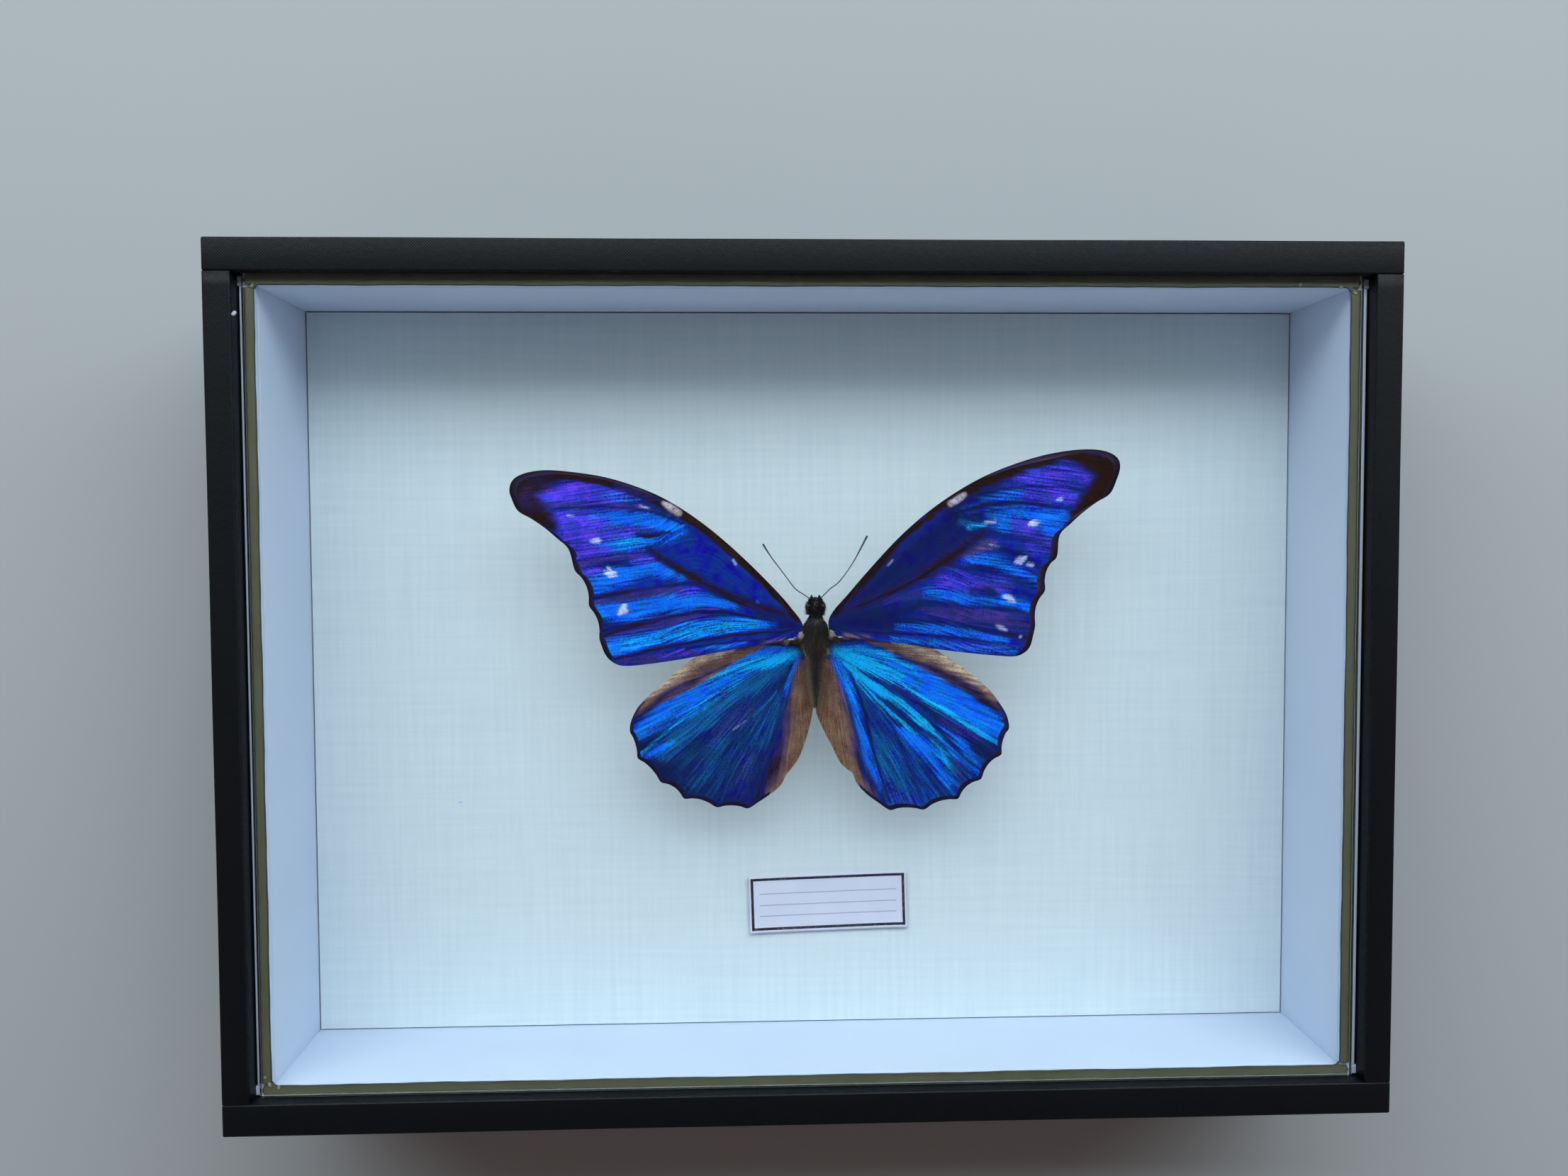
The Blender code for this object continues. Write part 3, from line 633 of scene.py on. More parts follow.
# The sheet's first number runs across the rays and its second along them, in mm: streaks are about
# 0.5 mm across and 8 mm long. A scale is 0.15 mm; specks are drawn at 0.35 mm so that they show.
along_rays = add(tree, "Mapping", inputs={"Vector": ray, "Scale": (2.0, 0.12, 1.0)})
streaks = add(tree, "TexNoise", inputs={"Vector": along_rays.outputs[0], "Scale": 1.0, "Detail": 3.0})
specks = add(tree, "TexNoise", inputs={"Vector": place, "Scale": 2600.0, "Detail": 2.0})
blotches = add(tree, "TexNoise", inputs={"Vector": place, "Scale": 420.0, "Detail": 3.0})
torn = add(tree, "Math", {"operation": "MULTIPLY_ADD"}, {0: specks.outputs["Fac"], 1: 0.5,
                                                        2: streaks.outputs["Fac"]})
uneven = add(tree, "MapRange", inputs={"Value": torn.outputs[0], "From Min": 0.5, "From Max": 1.0,
                                       "To Min": -2.6, "To Max": 2.6})
uneven.clamp = False
gentle = add(tree, "Math", {"operation": "MULTIPLY"}, {0: uneven.outputs[0], 1: 0.35})
colour = linear("#002898")
for key, hex_colour in (("navy", "#051552"), ("plum", "#3c2f80"), ("violet", "#5040e8"), ("teal", "#08649c"),
                        ("azure", "#0078ff"), ("cyan", "#00b4ff"), ("bark", "#83624c"), ("tan", "#e2c49c"),
                        ("umber", "#220e05"), ("pearl", "#c9d6ff")):
    laid = add(tree, "Attribute", {"attribute_name": key}).outputs["Fac"]
    bare = add(tree, "Math", {"operation": "SUBTRACT"}, {0: 1.0, 1: laid})
    at_edge = add(tree, "Math", {"operation": "MULTIPLY"}, {0: laid, 1: bare.outputs[0]})
    ragged = gentle if key in ("bark", "tan", "pearl") else uneven
    broken = add(tree, "Math", {"operation": "MULTIPLY_ADD"}, {0: at_edge.outputs[0], 1: ragged.outputs[0],
                                                              2: laid})
    colour = add(tree, "Mix", {"data_type": "RGBA"}, {0: broken.outputs[0], 6: colour,
                                                      7: linear(hex_colour)}).outputs[2]
# Streaks, specks and blotches scale the colour by half to one and a half: painted glints of the scales.
shine = add(tree, "Math", {"operation": "MULTIPLY_ADD"}, {0: streaks.outputs["Fac"], 1: 0.9, 2: 0.35})
glint = add(tree, "Math", {"operation": "MULTIPLY_ADD"}, {0: specks.outputs["Fac"], 1: 0.5,
                                                         2: shine.outputs[0]})
patch = add(tree, "Math", {"operation": "MULTIPLY_ADD"}, {0: blotches.outputs["Fac"], 1: 0.5,
                                                         2: glint.outputs[0]})
level = add(tree, "MapRange", inputs={"Value": patch.outputs[0], "From Min": 1.08, "From Max": 1.52,
                                      "To Min": 0.5, "To Max": 1.5})
hue = add(tree, "MapRange", inputs={"Value": blotches.outputs["Fac"], "From Min": 0.3, "From Max": 0.7,
                                    "To Min": 0.487, "To Max": 0.513})
mottled = add(tree, "HueSaturation", inputs={"Color": colour, "Hue": hue.outputs[0]})
lit = add(tree, "VectorMath", {"operation": "SCALE"}, {0: mottled.outputs[0], "Scale": level.outputs[0]})
# The underside is plain brown with paler streaks along the rays.
brown = add(tree, "Mix", {"data_type": "RGBA"}, {0: streaks.outputs["Fac"], 6: linear("#3d2c20"),
                                                 7: linear("#7b6148")})
below = add(tree, "Attribute", {"attribute_name": "under"})
both = add(tree, "Mix", {"data_type": "RGBA"}, {0: below.outputs["Fac"], 6: lit.outputs[0],
                                                7: brown.outputs[2]})
rough = add(tree, "MapRange", inputs={"Value": torn.outputs[0], "From Min": 0.4, "From Max": 1.1,
                                      "To Min": 0.62, "To Max": 0.42})
relief = add(tree, "Bump", inputs={"Height": torn.outputs[0], "Strength": 0.4, "Distance": 0.06 * MM})
wire(tree, shader, {"Base Color": both.outputs[2], "Metallic": 0.4, "Roughness": rough.outputs[0],
                    "Specular IOR Level": 0.1, "Normal": relief.outputs[0]})

# Each stroke is a colour, its widths along the line in mm, the softness of its edge in mm, its
# strength, and the line in mm outwards and forwards from the thorax. A pair of angles in degrees
# stands for the margin between them. A later stroke lies over the earlier ones.
FOREWING_LEFT = [
    ("navy", (3.4, 5.0, 4.0), 2.4, 0.75, [(4, 0.6), (8, 1.6), (13, 3.0)]),
    ("azure", (3.0, 3.4, 3.4), 1.6, 0.9, [(31.5, 23.3), (36, 24.6), (42, 25.2), (50, 25.3)]),
    ("azure", (2.0, 2.6), 1.8, 0.5, [(33, 21.2), (38, 20.6)]),
    ("azure", (2.6, 3.4, 2.6), 1.4, 0.95, [(38, 20.2), (41.5, 19.7), (46, 19.6), (49, 18.8)]),
    ("cyan", (0.8, 1.4, 0.6), 1.4, 0.5, [(39, 19.8), (42, 20), (45, 19.8)]),
    ("azure", (2.2, 3.8, 3.8, 3.2), 1.4, 0.92, [(31, 12.6), (36, 13.9), (42, 13.4), (50.5, 10.6)]),
    ("azure", (1.4, 3.4, 4.0, 4.2, 3.6), 1.4, 0.92,
     [(19, 5.4), (27, 6.6), (34, 6.2), (42, 4.9), (49, 4.6)]),
    ("azure", (0.4, 2.8, 3.3, 3.3, 3.2), 1.3, 1.0,
     [(9.4, 0.9), (18, 0.9), (27, 0.0), (37, -1.7), (47.5, -4.2)]),
    ("cyan", (0.8, 1.8, 1.8, 1.0), 1.6, 0.7, [(14, 0.9), (22, 0.5), (34, -1.2), (44, -3.2)]),
    ("azure", (0.5, 1.0, 0.8), 0.8, 0.8, [(16, -3.0), (22, -3.9), (28, -4.8)]),
    ("violet", (4.0, 5.4, 5.0), 2.4, 0.9, [(45, 30.8), (53, 31.4), (62, 31)]),
    ("azure", (1.4, 1.2), 1.2, 0.55, [(40.5, 29.6), (48, 30.8)]),
    ("violet", (2.2, 4.6, 3.6), 2.2, 0.9, [(48.5, 25), (54, 24.8), (59, 24.2)]),
    ("violet", (1.6, 3.2, 2.6), 1.8, 0.85, [(41, 23), (48, 22.2), (56, 20.6)]),
    ("violet", (2.0, 3.0, 2.0), 1.8, 0.9, [(47, 18.6), (51, 18), (54.5, 17.4)]),
    ("violet", (1.6, 2.8), 1.8, 0.8, [(37, 16.6), (41, 16.8)]),
    ("violet", (2.4, 2.4), 1.8, 0.8, [(50.5, 13.6), (54, 13.6)]),
    ("violet", (1.0, 2.0), 1.6, 0.6, [(28, 8.8), (31, 8.6)]),
    ("plum", (1.0, 1.8, 2.3, 2.4), 1.0, 0.95, [(23, 3.9), (31, 2.9), (39, 1.3), (49, -1.2)]),
    ("plum", (1.2, 1.8, 1.6), 1.0, 0.9, [(31, 9.2), (39, 8.5), (50, 6.6)]),
    ("plum", (0.9, 1.2, 0.9), 1.0, 0.75, [(38, 22.9), (46, 23.1), (56, 22.3)]),
    ("plum", (1.2, 2.2, 1.8), 1.0, 0.8, [(40, 17.6), (47, 16.4), (54.5, 15)]),
    ("plum", (0.9, 1.6, 1.2), 1.0, 0.8, [(37, 28.0), (48, 28.8), (61, 28.4)]),
    ("plum", (0.8, 1.6, 2.0, 1.0), 0.9, 0.8, [(26, -4.8), (32, -5.8), (40, -6.6), (46, -7.2)]),
    ("violet", (0.6, 0.8), 1.0, 0.7, [(30, -5.4), (36, -6.0)]),
    ("navy", (1.0, 1.4, 0.9), 0.9, 0.9, [(43, 15.2), (48, 14.9), (54.5, 14.2)]),
    ("navy", (0.6, 0.9, 0.8, 0.8), 0.6, 0.95, [(14, 2.5), (24, 4.2), (38, 2.3), (50, -0.2)]),
    ("navy", (0.6, 0.9, 0.7), 0.6, 0.9, [(28, 11.0), (38, 9.6), (51.5, 7.4)]),
    ("umber", (0.3, 0.7, 0.8), 0.5, 0.85, [(41, 9.3), (46, 8.6), (51.5, 7.4)]),
    ("umber", (0.3, 0.8, 0.9), 0.6, 0.8, [(36, 2.2), (43, 0.6), (49.5, -1.4)]),
    ("navy", (0.5, 0.7, 0.7), 0.5, 1.0, [(6, -0.4), (20, -1.5), (34, -3.7), (46.5, -6.6)]),
    ("umber", (0.3, 0.45, 0.45), 0.4, 0.9, [(8, -0.7), (20, -1.6), (34, -3.8), (46.5, -6.7)]),
    ("navy", (0.5, 0.5), 0.5, 0.9, [(10, -2.3), (20, -3.0), (30, -4.3)]),
    ("navy", (0.6, 0.7, 0.5), 0.6, 0.8, [(30, 24.4), (38, 27.2), (48, 28.3), (60, 28.0)]),
    ("navy", (0.5, 0.6), 0.6, 0.7, [(40, 18.3), (46, 17.6), (55, 16.2)]),
    ("navy", (0.9, 1.3, 0.8), 0.8, 0.95, [(33.5, 22.4), (38, 21.7), (41, 21.8)]),
    ("umber", (0.5, 0.9, 0.4), 0.6, 0.9, [(36, 22.0), (38.4, 21.6), (40, 21.7)]),
    ("navy", (1.2, 1.9, 2.4, 2.4, 1.6), 1.2, 0.9,
     [(4, 2.4), (14, 5.6), (22, 8.6), (30, 13.0), (38.5, 18.4)]),
    ("umber", (0.9, 1.2, 1.3, 1.6, 0.8), 0.9, 0.95,
     [(4, 2.4), (12, 4.8), (21, 8.0), (30, 13.0), (38, 18.2)]),
    ("navy", (2.0, 2.4), 1.6, 0.6, [(5, 0.2), (10, 0.3)]),
    ("navy", (4.0, 5.6, 3.4), 2.4, 0.75, [(31, 26.4), (37, 29.2), (43, 31.8)]),
    ("umber", (1.8, 2.0, 2.0, 2.4, 2.8, 2.8, 2.4, 2.2, 2.0), 0.8, 1.0,
     [(4.0, 2.2), (9.4, 8.3), (16.8, 15.5), (25.5, 23.1), (31.5, 27.3), (38.5, 31.0), (46.5, 33.7),
      (53.5, 35.0), (59, 35.6)]),
    ("plum", (1.6, 1.8), 1.2, 0.45, [(36, 30.2), (45, 32.4)]),
    ("umber", (1.6, 4.4, 6.4, 6.0, 3.0), 2.0, 1.0,
     [(58, 35.2), (63.5, 33.6), (67, 31.2), (65.2, 28.0), (60.5, 24.2)]),
    ("bark", (2.0, 2.4), 2.4, 0.18, [(63, 28.6), (66, 28.6)]),
    ("bark", (2.6, 3.0), 2.6, 0.22, [(62.5, 33.2), (66, 31.8)]),
    ("umber", (0.2, 0.2), 0.5, 1.0, (-9, 180)),
    ("tan", (1.7, 1.9, 1.2), 0.8, 0.8, [(31.4, 26.9), (33.2, 28.0), (34.8, 29.0)]),
    ("pearl", (0.9, 1.4, 0.8), 0.8, 0.35, [(32.0, 27.4), (34.2, 28.6)]),
    ("plum", (0.9, 1.2, 0.8), 0.7, 0.9, [(38.0, 27.9), (39.5, 28.3), (41, 28.5)]),
    ("pearl", (0.5, 0.8, 0.4), 0.5, 0.55, [(38.4, 28.0), (40.2, 28.5)]),
    ("pearl", (0.5, 1.0, 0.4), 0.5, 0.55, [(18.5, 15.0), (19.1, 15.9)]),
    ("pearl", (0.6, 1.1, 1.1, 0.5), 0.6, 0.95, [(49.2, 20.6), (50.0, 20.6), (51.4, 20.3)]),
    ("pearl", (0.8, 1.5, 1.3, 0.5), 0.6, 0.97, [(46.0, 12.9), (47.2, 13.0), (48.4, 13.2)]),
    ("pearl", (0.4, 0.7), 0.6, 0.8, [(47.0, 13.6), (47.6, 14.2)]),
    ("pearl", (1.0, 1.6, 0.6), 0.6, 0.97, [(44.0, 5.6), (44.4, 4.7), (45.2, 3.8)]),
    ("pearl", (0.8, 1.0), 0.6, 0.9, [(43.4, 4.4), (44.6, 4.2)]),
    ("pearl", (0.4, 0.7, 0.4), 0.5, 0.7, [(55.5, 26.2), (56.6, 26.3)]),
    ("violet", (1.0,), 0.8, 0.8, [(61.4, 30.4)]),
    ("azure", (0.8,), 0.8, 0.6, [(13.6, 6.1)]),
    ("bark", (1.0, 0.6), 0.9, 0.6, [(7.0, -3.0), (12, -3.4)]),
]
FOREWING_RIGHT = [
    ("navy", (4.0, 5.4, 4.0), 2.6, 0.85, [(4, 0.4), (11, 0.6), (20, 0.6)]),
    ("navy", (3.0, 6.0, 9.0, 9.0, 6.0), 3.0, 0.85, [(6, 5), (14, 9.4), (22, 15), (29, 20.5), (36, 24.6)]),
    ("navy", (3.0, 4.0, 3.0), 2.0, 0.8, [(6, 2.6), (14, 3.8), (24, 4.8)]),
    ("azure", (1.2, 2.2, 2.0), 1.6, 0.45, [(34, 27.2), (40, 29.6), (47, 31)]),
    ("azure", (1.0, 2.6, 3.6), 2.2, 0.7, [(40, 26.8), (48, 26.8), (56, 25.6)]),
    ("azure", (3.0, 4.0), 2.2, 0.65, [(52, 25.4), (55, 22.6)]),
    ("azure", (2.2, 3.6), 1.8, 0.8, [(41.4, 25.2), (43.4, 24.4)]),
    ("teal", (1.6, 1.0), 1.2, 0.7, [(34, 24.6), (38.4, 24.4)]),
    ("cyan", (0.8, 1.1, 0.5), 0.9, 0.7, [(35.4, 23.2), (37.4, 23.6), (39, 24.2)]),
    ("azure", (1.4, 2.4, 2.0, 1.8), 1.4, 0.85, [(35, 15.6), (40, 15.4), (46, 13.0), (51, 10.8)]),
    ("violet", (2.6, 4.0, 3.4), 2.4, 0.42, [(29, 10.4), (35, 10.6), (43, 10.0)]),
    ("azure", (1.4, 2.2, 2.4, 1.4), 1.6, 0.75, [(26, 8.2), (32, 7.2), (38, 6.2), (45, 5.4)]),
    ("azure", (0.8, 1.6, 1.2), 1.0, 0.85, [(42, 7.8), (46.6, 5.8), (50.2, 4.2)]),
    ("azure", (0.2, 2.0, 1.8, 1.0), 1.4, 0.8, [(19, 0.4), (29, -0.1), (37, -1.4), (44, -3.1)]),
    ("azure", (0.8, 1.2, 1.2, 1.0), 1.0, 0.7, [(18, -2.5), (26, -3.4), (36, -4.8), (46, -5.2)]),
    ("violet", (1.2, 1.6), 1.4, 0.4, [(30, -4.0), (44, -5.4)]),
    ("violet", (2.2, 4.4, 4.4, 3.0), 2.4, 0.64, [(44, 33.6), (52, 35.0), (59, 35.4), (64, 34.2)]),
    ("violet", (2.0, 3.2, 2.2), 2.0, 0.6, [(48, 30.8), (55, 30.8), (60, 29.8)]),
    ("violet", (2.6, 3.0), 1.8, 0.7, [(46, 24.2), (49, 22.8)]),
    ("violet", (2.6, 2.8), 2.0, 0.6, [(50, 18.6), (54, 19.6)]),
    ("plum", (2.0, 3.2, 3.8, 2.4), 1.8, 0.85, [(25, 3.7), (33, 3.2), (42, 2.2), (49.5, 0.4)]),
    ("plum", (0.8, 1.4), 1.4, 0.7, [(46, 21.6), (52, 20)]),
    ("plum", (1.8, 2.2, 1.4), 1.6, 0.6, [(36, 9.0), (40, 9.4), (45, 9.6)]),
    ("plum", (0.6, 1.2), 1.0, 0.6, [(16, 6.2), (24, 8.0)]),
    ("bark", (1.2, 2.4, 1.2), 1.6, 0.45, [(34.4, 17.2), (38, 18.8), (41, 19.2)]),
    ("pearl", (0.3, 0.4), 0.5, 0.5, [(40.2, 19.4), (42.2, 18.4)]),
    ("navy", (0.4, 0.8, 0.6), 0.7, 0.85, [(37, 31), (46, 32.4), (56, 32.6), (62, 31.6)]),
    ("navy", (0.8, 1.3, 1.1, 0.6), 0.8, 0.95, [(32, 26.4), (40, 28.4), (49, 28.8), (58.5, 27.2)]),
    ("navy", (0.5, 0.6), 0.5, 0.7, [(36, 26.2), (44, 27.6), (52, 27.4)]),
    ("navy", (1.8, 1.6, 0.9), 1.2, 0.9, [(30.4, 26.4), (35, 25.4), (39, 24.8)]),
    ("navy", (0.9, 1.2, 0.9), 1.2, 0.75, [(40, 22.2), (47, 20.8), (55, 18.2)]),
    ("navy", (0.9, 1.2, 0.9), 0.8, 0.9, [(41.4, 18.4), (46, 17.4), (50, 15.2), (53, 12.2)]),
    ("navy", (1.0, 1.2, 0.8), 1.0, 0.85, [(31, 14.2), (38, 13.8), (46, 11.4), (51.8, 9.2)]),
    ("umber", (0.3, 0.6), 0.6, 0.7, [(48, 13.9), (52.4, 11.4)]),
    ("umber", (0.6, 1.2, 0.5), 1.0, 0.75, [(36, 8.6), (39.2, 8.5), (42, 7.6)]),
    ("navy", (0.6, 1.1, 1.3, 0.8), 1.0, 0.9, [(24, 6.0), (34, 5.0), (44, 4.2), (50.2, 2.4)]),
    ("navy", (0.6, 1.2, 1.4, 1.2), 0.9, 0.95, [(12, 1.8), (26, 1.6), (38, -0.2), (49.5, -3.0)]),
    ("umber", (0.3, 1.0, 1.6), 1.0, 0.7, [(38, -0.2), (44, -1.4), (49.5, -2.8)]),
    ("navy", (0.5, 0.7, 0.6), 0.6, 0.85, [(10, -0.7), (26, -1.6), (40, -3.2), (47, -5.0)]),
    ("umber", (1.2, 1.8, 2.4, 3.0, 2.0), 1.6, 0.8,
     [(4, 3.0), (12, 5.8), (21, 10.2), (31, 16.4), (38.6, 21.8)]),
    ("umber", (0.6, 0.7, 0.9), 0.6, 0.8, [(10, 5.2), (22, 10.6), (34, 18.4)]),
    ("navy", (4.4, 6.0, 3.4), 2.6, 0.8, [(31, 28.4), (37, 31.4), (44, 34.4)]),
    ("umber", (2.0, 2.2, 2.0, 2.0, 2.6, 2.6, 2.4, 2.4, 2.4), 0.9, 1.0,
     [(4.2, 3.6), (11, 10.9), (18.6, 19.2), (27.6, 27.1), (34, 31.2), (41.5, 34.7), (49.5, 37.6),
      (56, 39.3), (61, 39.9)]),
    ("umber", (2.0, 5.0, 6.6, 5.6, 2.6), 1.8, 1.0,
     [(57, 39.8), (63.5, 38.2), (67.4, 35.4), (65.0, 31.0), (60.0, 26.4)]),
    ("umber", (0.2, 0.2), 0.5, 1.0, (-9, 180)),
    ("tan", (1.4, 1.7, 1.2), 0.7, 0.75, [(31.0, 28.8), (32.8, 29.8), (34.4, 30.8)]),
    ("pearl", (0.9, 1.4, 0.8), 0.8, 0.4, [(31.4, 29.0), (34.0, 30.5)]),
    ("pearl", (0.8, 1.7, 1.3, 0.6), 0.6, 0.97, [(49.2, 24.0), (50.2, 24.2), (51.3, 24.2)]),
    ("pearl", (0.8, 1.5, 1.2, 0.6), 0.6, 0.97, [(46.2, 15.4), (47.3, 15.6), (48.4, 16.0)]),
    ("pearl", (0.5, 0.7), 0.5, 0.75, [(49.0, 14.7), (50.0, 14.4)]),
    ("pearl", (0.6, 1.5, 1.2, 0.5), 0.6, 0.97, [(43.4, 7.4), (44.6, 6.9), (45.8, 6.0)]),
    ("violet", (0.5, 0.6), 0.8, 0.9, [(52, 29.3), (55.6, 29.5)]),
    ("pearl", (0.5, 0.9), 0.6, 0.6, [(55.8, 29.6), (56.5, 29.7)]),
    ("pearl", (0.4, 0.9, 0.4), 0.6, 0.6, [(41.8, 0.5), (42.8, 0.1), (44.0, -0.6)]),
    ("pearl", (0.5,), 0.5, 0.7, [(47.3, -2.1)]),
    ("pearl", (0.4, 0.8, 0.4), 0.5, 0.22, [(16.9, 14.7), (17.7, 15.7)]),
    ("pearl", (0.9, 0.7), 0.8, 0.5, [(39.4, 24.3), (41.2, 24.5)]),
    ("plum", (0.8,), 0.8, 0.5, [(66, 39.2)]),
    ("bark", (1.2, 0.6), 0.9, 0.6, [(7.0, -1.9), (12, -2.3)]),
]
HINDWING_LEFT = [
    ("navy", (90.0,), 1.0, 0.9, [(20, -25)]),
    ("teal", (12.0, 15.0), 8.0, 0.2, [(12, -20), (24, -32)]),
    ("azure", (2.4, 4.4, 6.6, 7.0, 5.6, 3.0), 1.6, 0.9,
     [(6, -5.6), (13, -7.4), (21, -10.8), (29, -15.6), (36.5, -20.8), (41.4, -24.4)]),
    ("cyan", (1.2, 2.6, 2.6, 1.6, 0.8), 1.6, 0.85,
     [(4.2, -6.2), (8.4, -7.6), (13, -8.4), (18, -9.6), (25, -12.4)]),
    ("azure", (1.2, 1.2), 1.0, 0.6, [(8, -4.8), (15, -6.2), (24, -10)]),
    ("teal", (1.4, 3.2, 4.4, 4.6, 3.4), 2.4, 0.85,
     [(8, -9.8), (14, -12.6), (21, -16.6), (28, -22), (36, -28.4)]),
    ("cyan", (0.6, 1.0, 0.5), 1.2, 0.45, [(17.4, -12.4), (21, -15.4), (26, -18.6)]),
    ("teal", (1.6, 2.6), 2.2, 0.35, [(9, -18), (13, -27)]),
    ("navy", (0.5, 0.7, 0.6), 0.5, 0.6, [(8, -5.2), (14, -8.2), (20, -10.6)]),
    ("plum", (1.4, 1.8), 1.4, 0.6, [(20.6, -15.6), (21.6, -16.6)]),
    ("plum", (1.4, 1.4), 1.4, 0.6, [(37, -22.4), (39, -23.4)]),
    ("navy", (1.0, 1.4, 1.0), 1.0, 0.6, [(30, -18.8), (36, -22.6), (41.6, -26.6)]),
    ("cyan", (0.35, 0.5, 0.4), 0.5, 0.55, [(20, -12.8), (27, -17.9), (34, -23.6), (41.2, -29.4)]),
    ("azure", (0.8, 1.5, 1.1), 1.0, 0.8, [(33.5, -27), (37, -28.4), (41, -29.8)]),
    ("plum", (2.4, 3.0, 2.0), 2.4, 0.35, [(14, -19.4), (20, -22), (24, -26)]),
    ("teal", (0.35, 0.5, 0.4), 0.5, 0.9, [(9, -15), (11.6, -18), (14.4, -20.6)]),
    ("pearl", (0.15, 0.3, 0.15), 0.5, 0.5, [(16.4, -21.8), (17.8, -23), (19.2, -24)]),
    ("cyan", (0.8, 1.5, 1.5, 0.5), 1.0, 1.0, [(4.6, -5.6), (8, -7), (11.5, -8.2), (16, -9.4)]),
    ("azure", (0.8, 1.1, 0.5), 0.8, 0.7, [(3.8, -7.4), (5.6, -11.2), (7.4, -16.2)]),
    ("plum", (2.6, 3.0), 2.4, 0.3, [(16, -31), (18, -38)]),
    ("teal", (1.0, 2.2, 1.4), 2.2, 0.4, [(22, -27), (25, -32), (28, -37)]),
    ("bark", (2.6, 7.0, 9.4, 9.2, 6.4, 3.2), 1.2, 0.95,
     [(2.4, -9), (1.8, -14), (1.9, -20), (3.2, -26.4), (6.8, -34.4), (10.4, -38.6)]),
    ("umber", (0.6, 1.6, 2.6, 2.4, 1.4), 2.0, 0.65,
     [(6.2, -20), (7.6, -26), (9.0, -31.5), (11.8, -37), (15.6, -41)]),
    ("bark", (0.8, 4.0, 5.8, 5.8, 4.0, 1.2), 0.8, 0.95,
     [(12, -4.1), (19, -5.8), (25.5, -8.7), (32, -12.3), (37.6, -16.0), (41.4, -19.6)]),
    ("umber", (2.4, 2.6, 2.0), 0.8, 0.85, [(4, -3.2), (12, -2.9), (19, -4.2)]),
    ("bark", (0.5, 0.8, 0.5), 0.8, 0.5, [(7, -3.3), (13, -3.9), (20, -5.2)]),
    ("umber", (0.4, 1.1, 1.3, 1.1), 1.0, 0.7, [(20, -8.0), (27, -11.3), (34, -15.3), (41, -20.2)]),
    ("tan", (0.9, 1.7, 2.0, 1.6, 0.5), 1.2, 0.7,
     [(20, -5.4), (26, -7.1), (31, -9.8), (35.4, -12.9), (38.5, -15.4)]),
    ("umber", (0.08, 0.08), 0.5, 1.0, (-78, -18)),
    ("tan", (0.8, 1.5, 1.3, 0.4), 0.8, 0.85, [(19, -4.9), (26, -6.7), (32, -10.0), (38.2, -14.4)]),
    ("bark", (3.0, 5.2, 4.0, 1.0), 1.0, 0.9, [(0.6, -15), (0.9, -21), (3.2, -28), (6.2, -34)]),
]
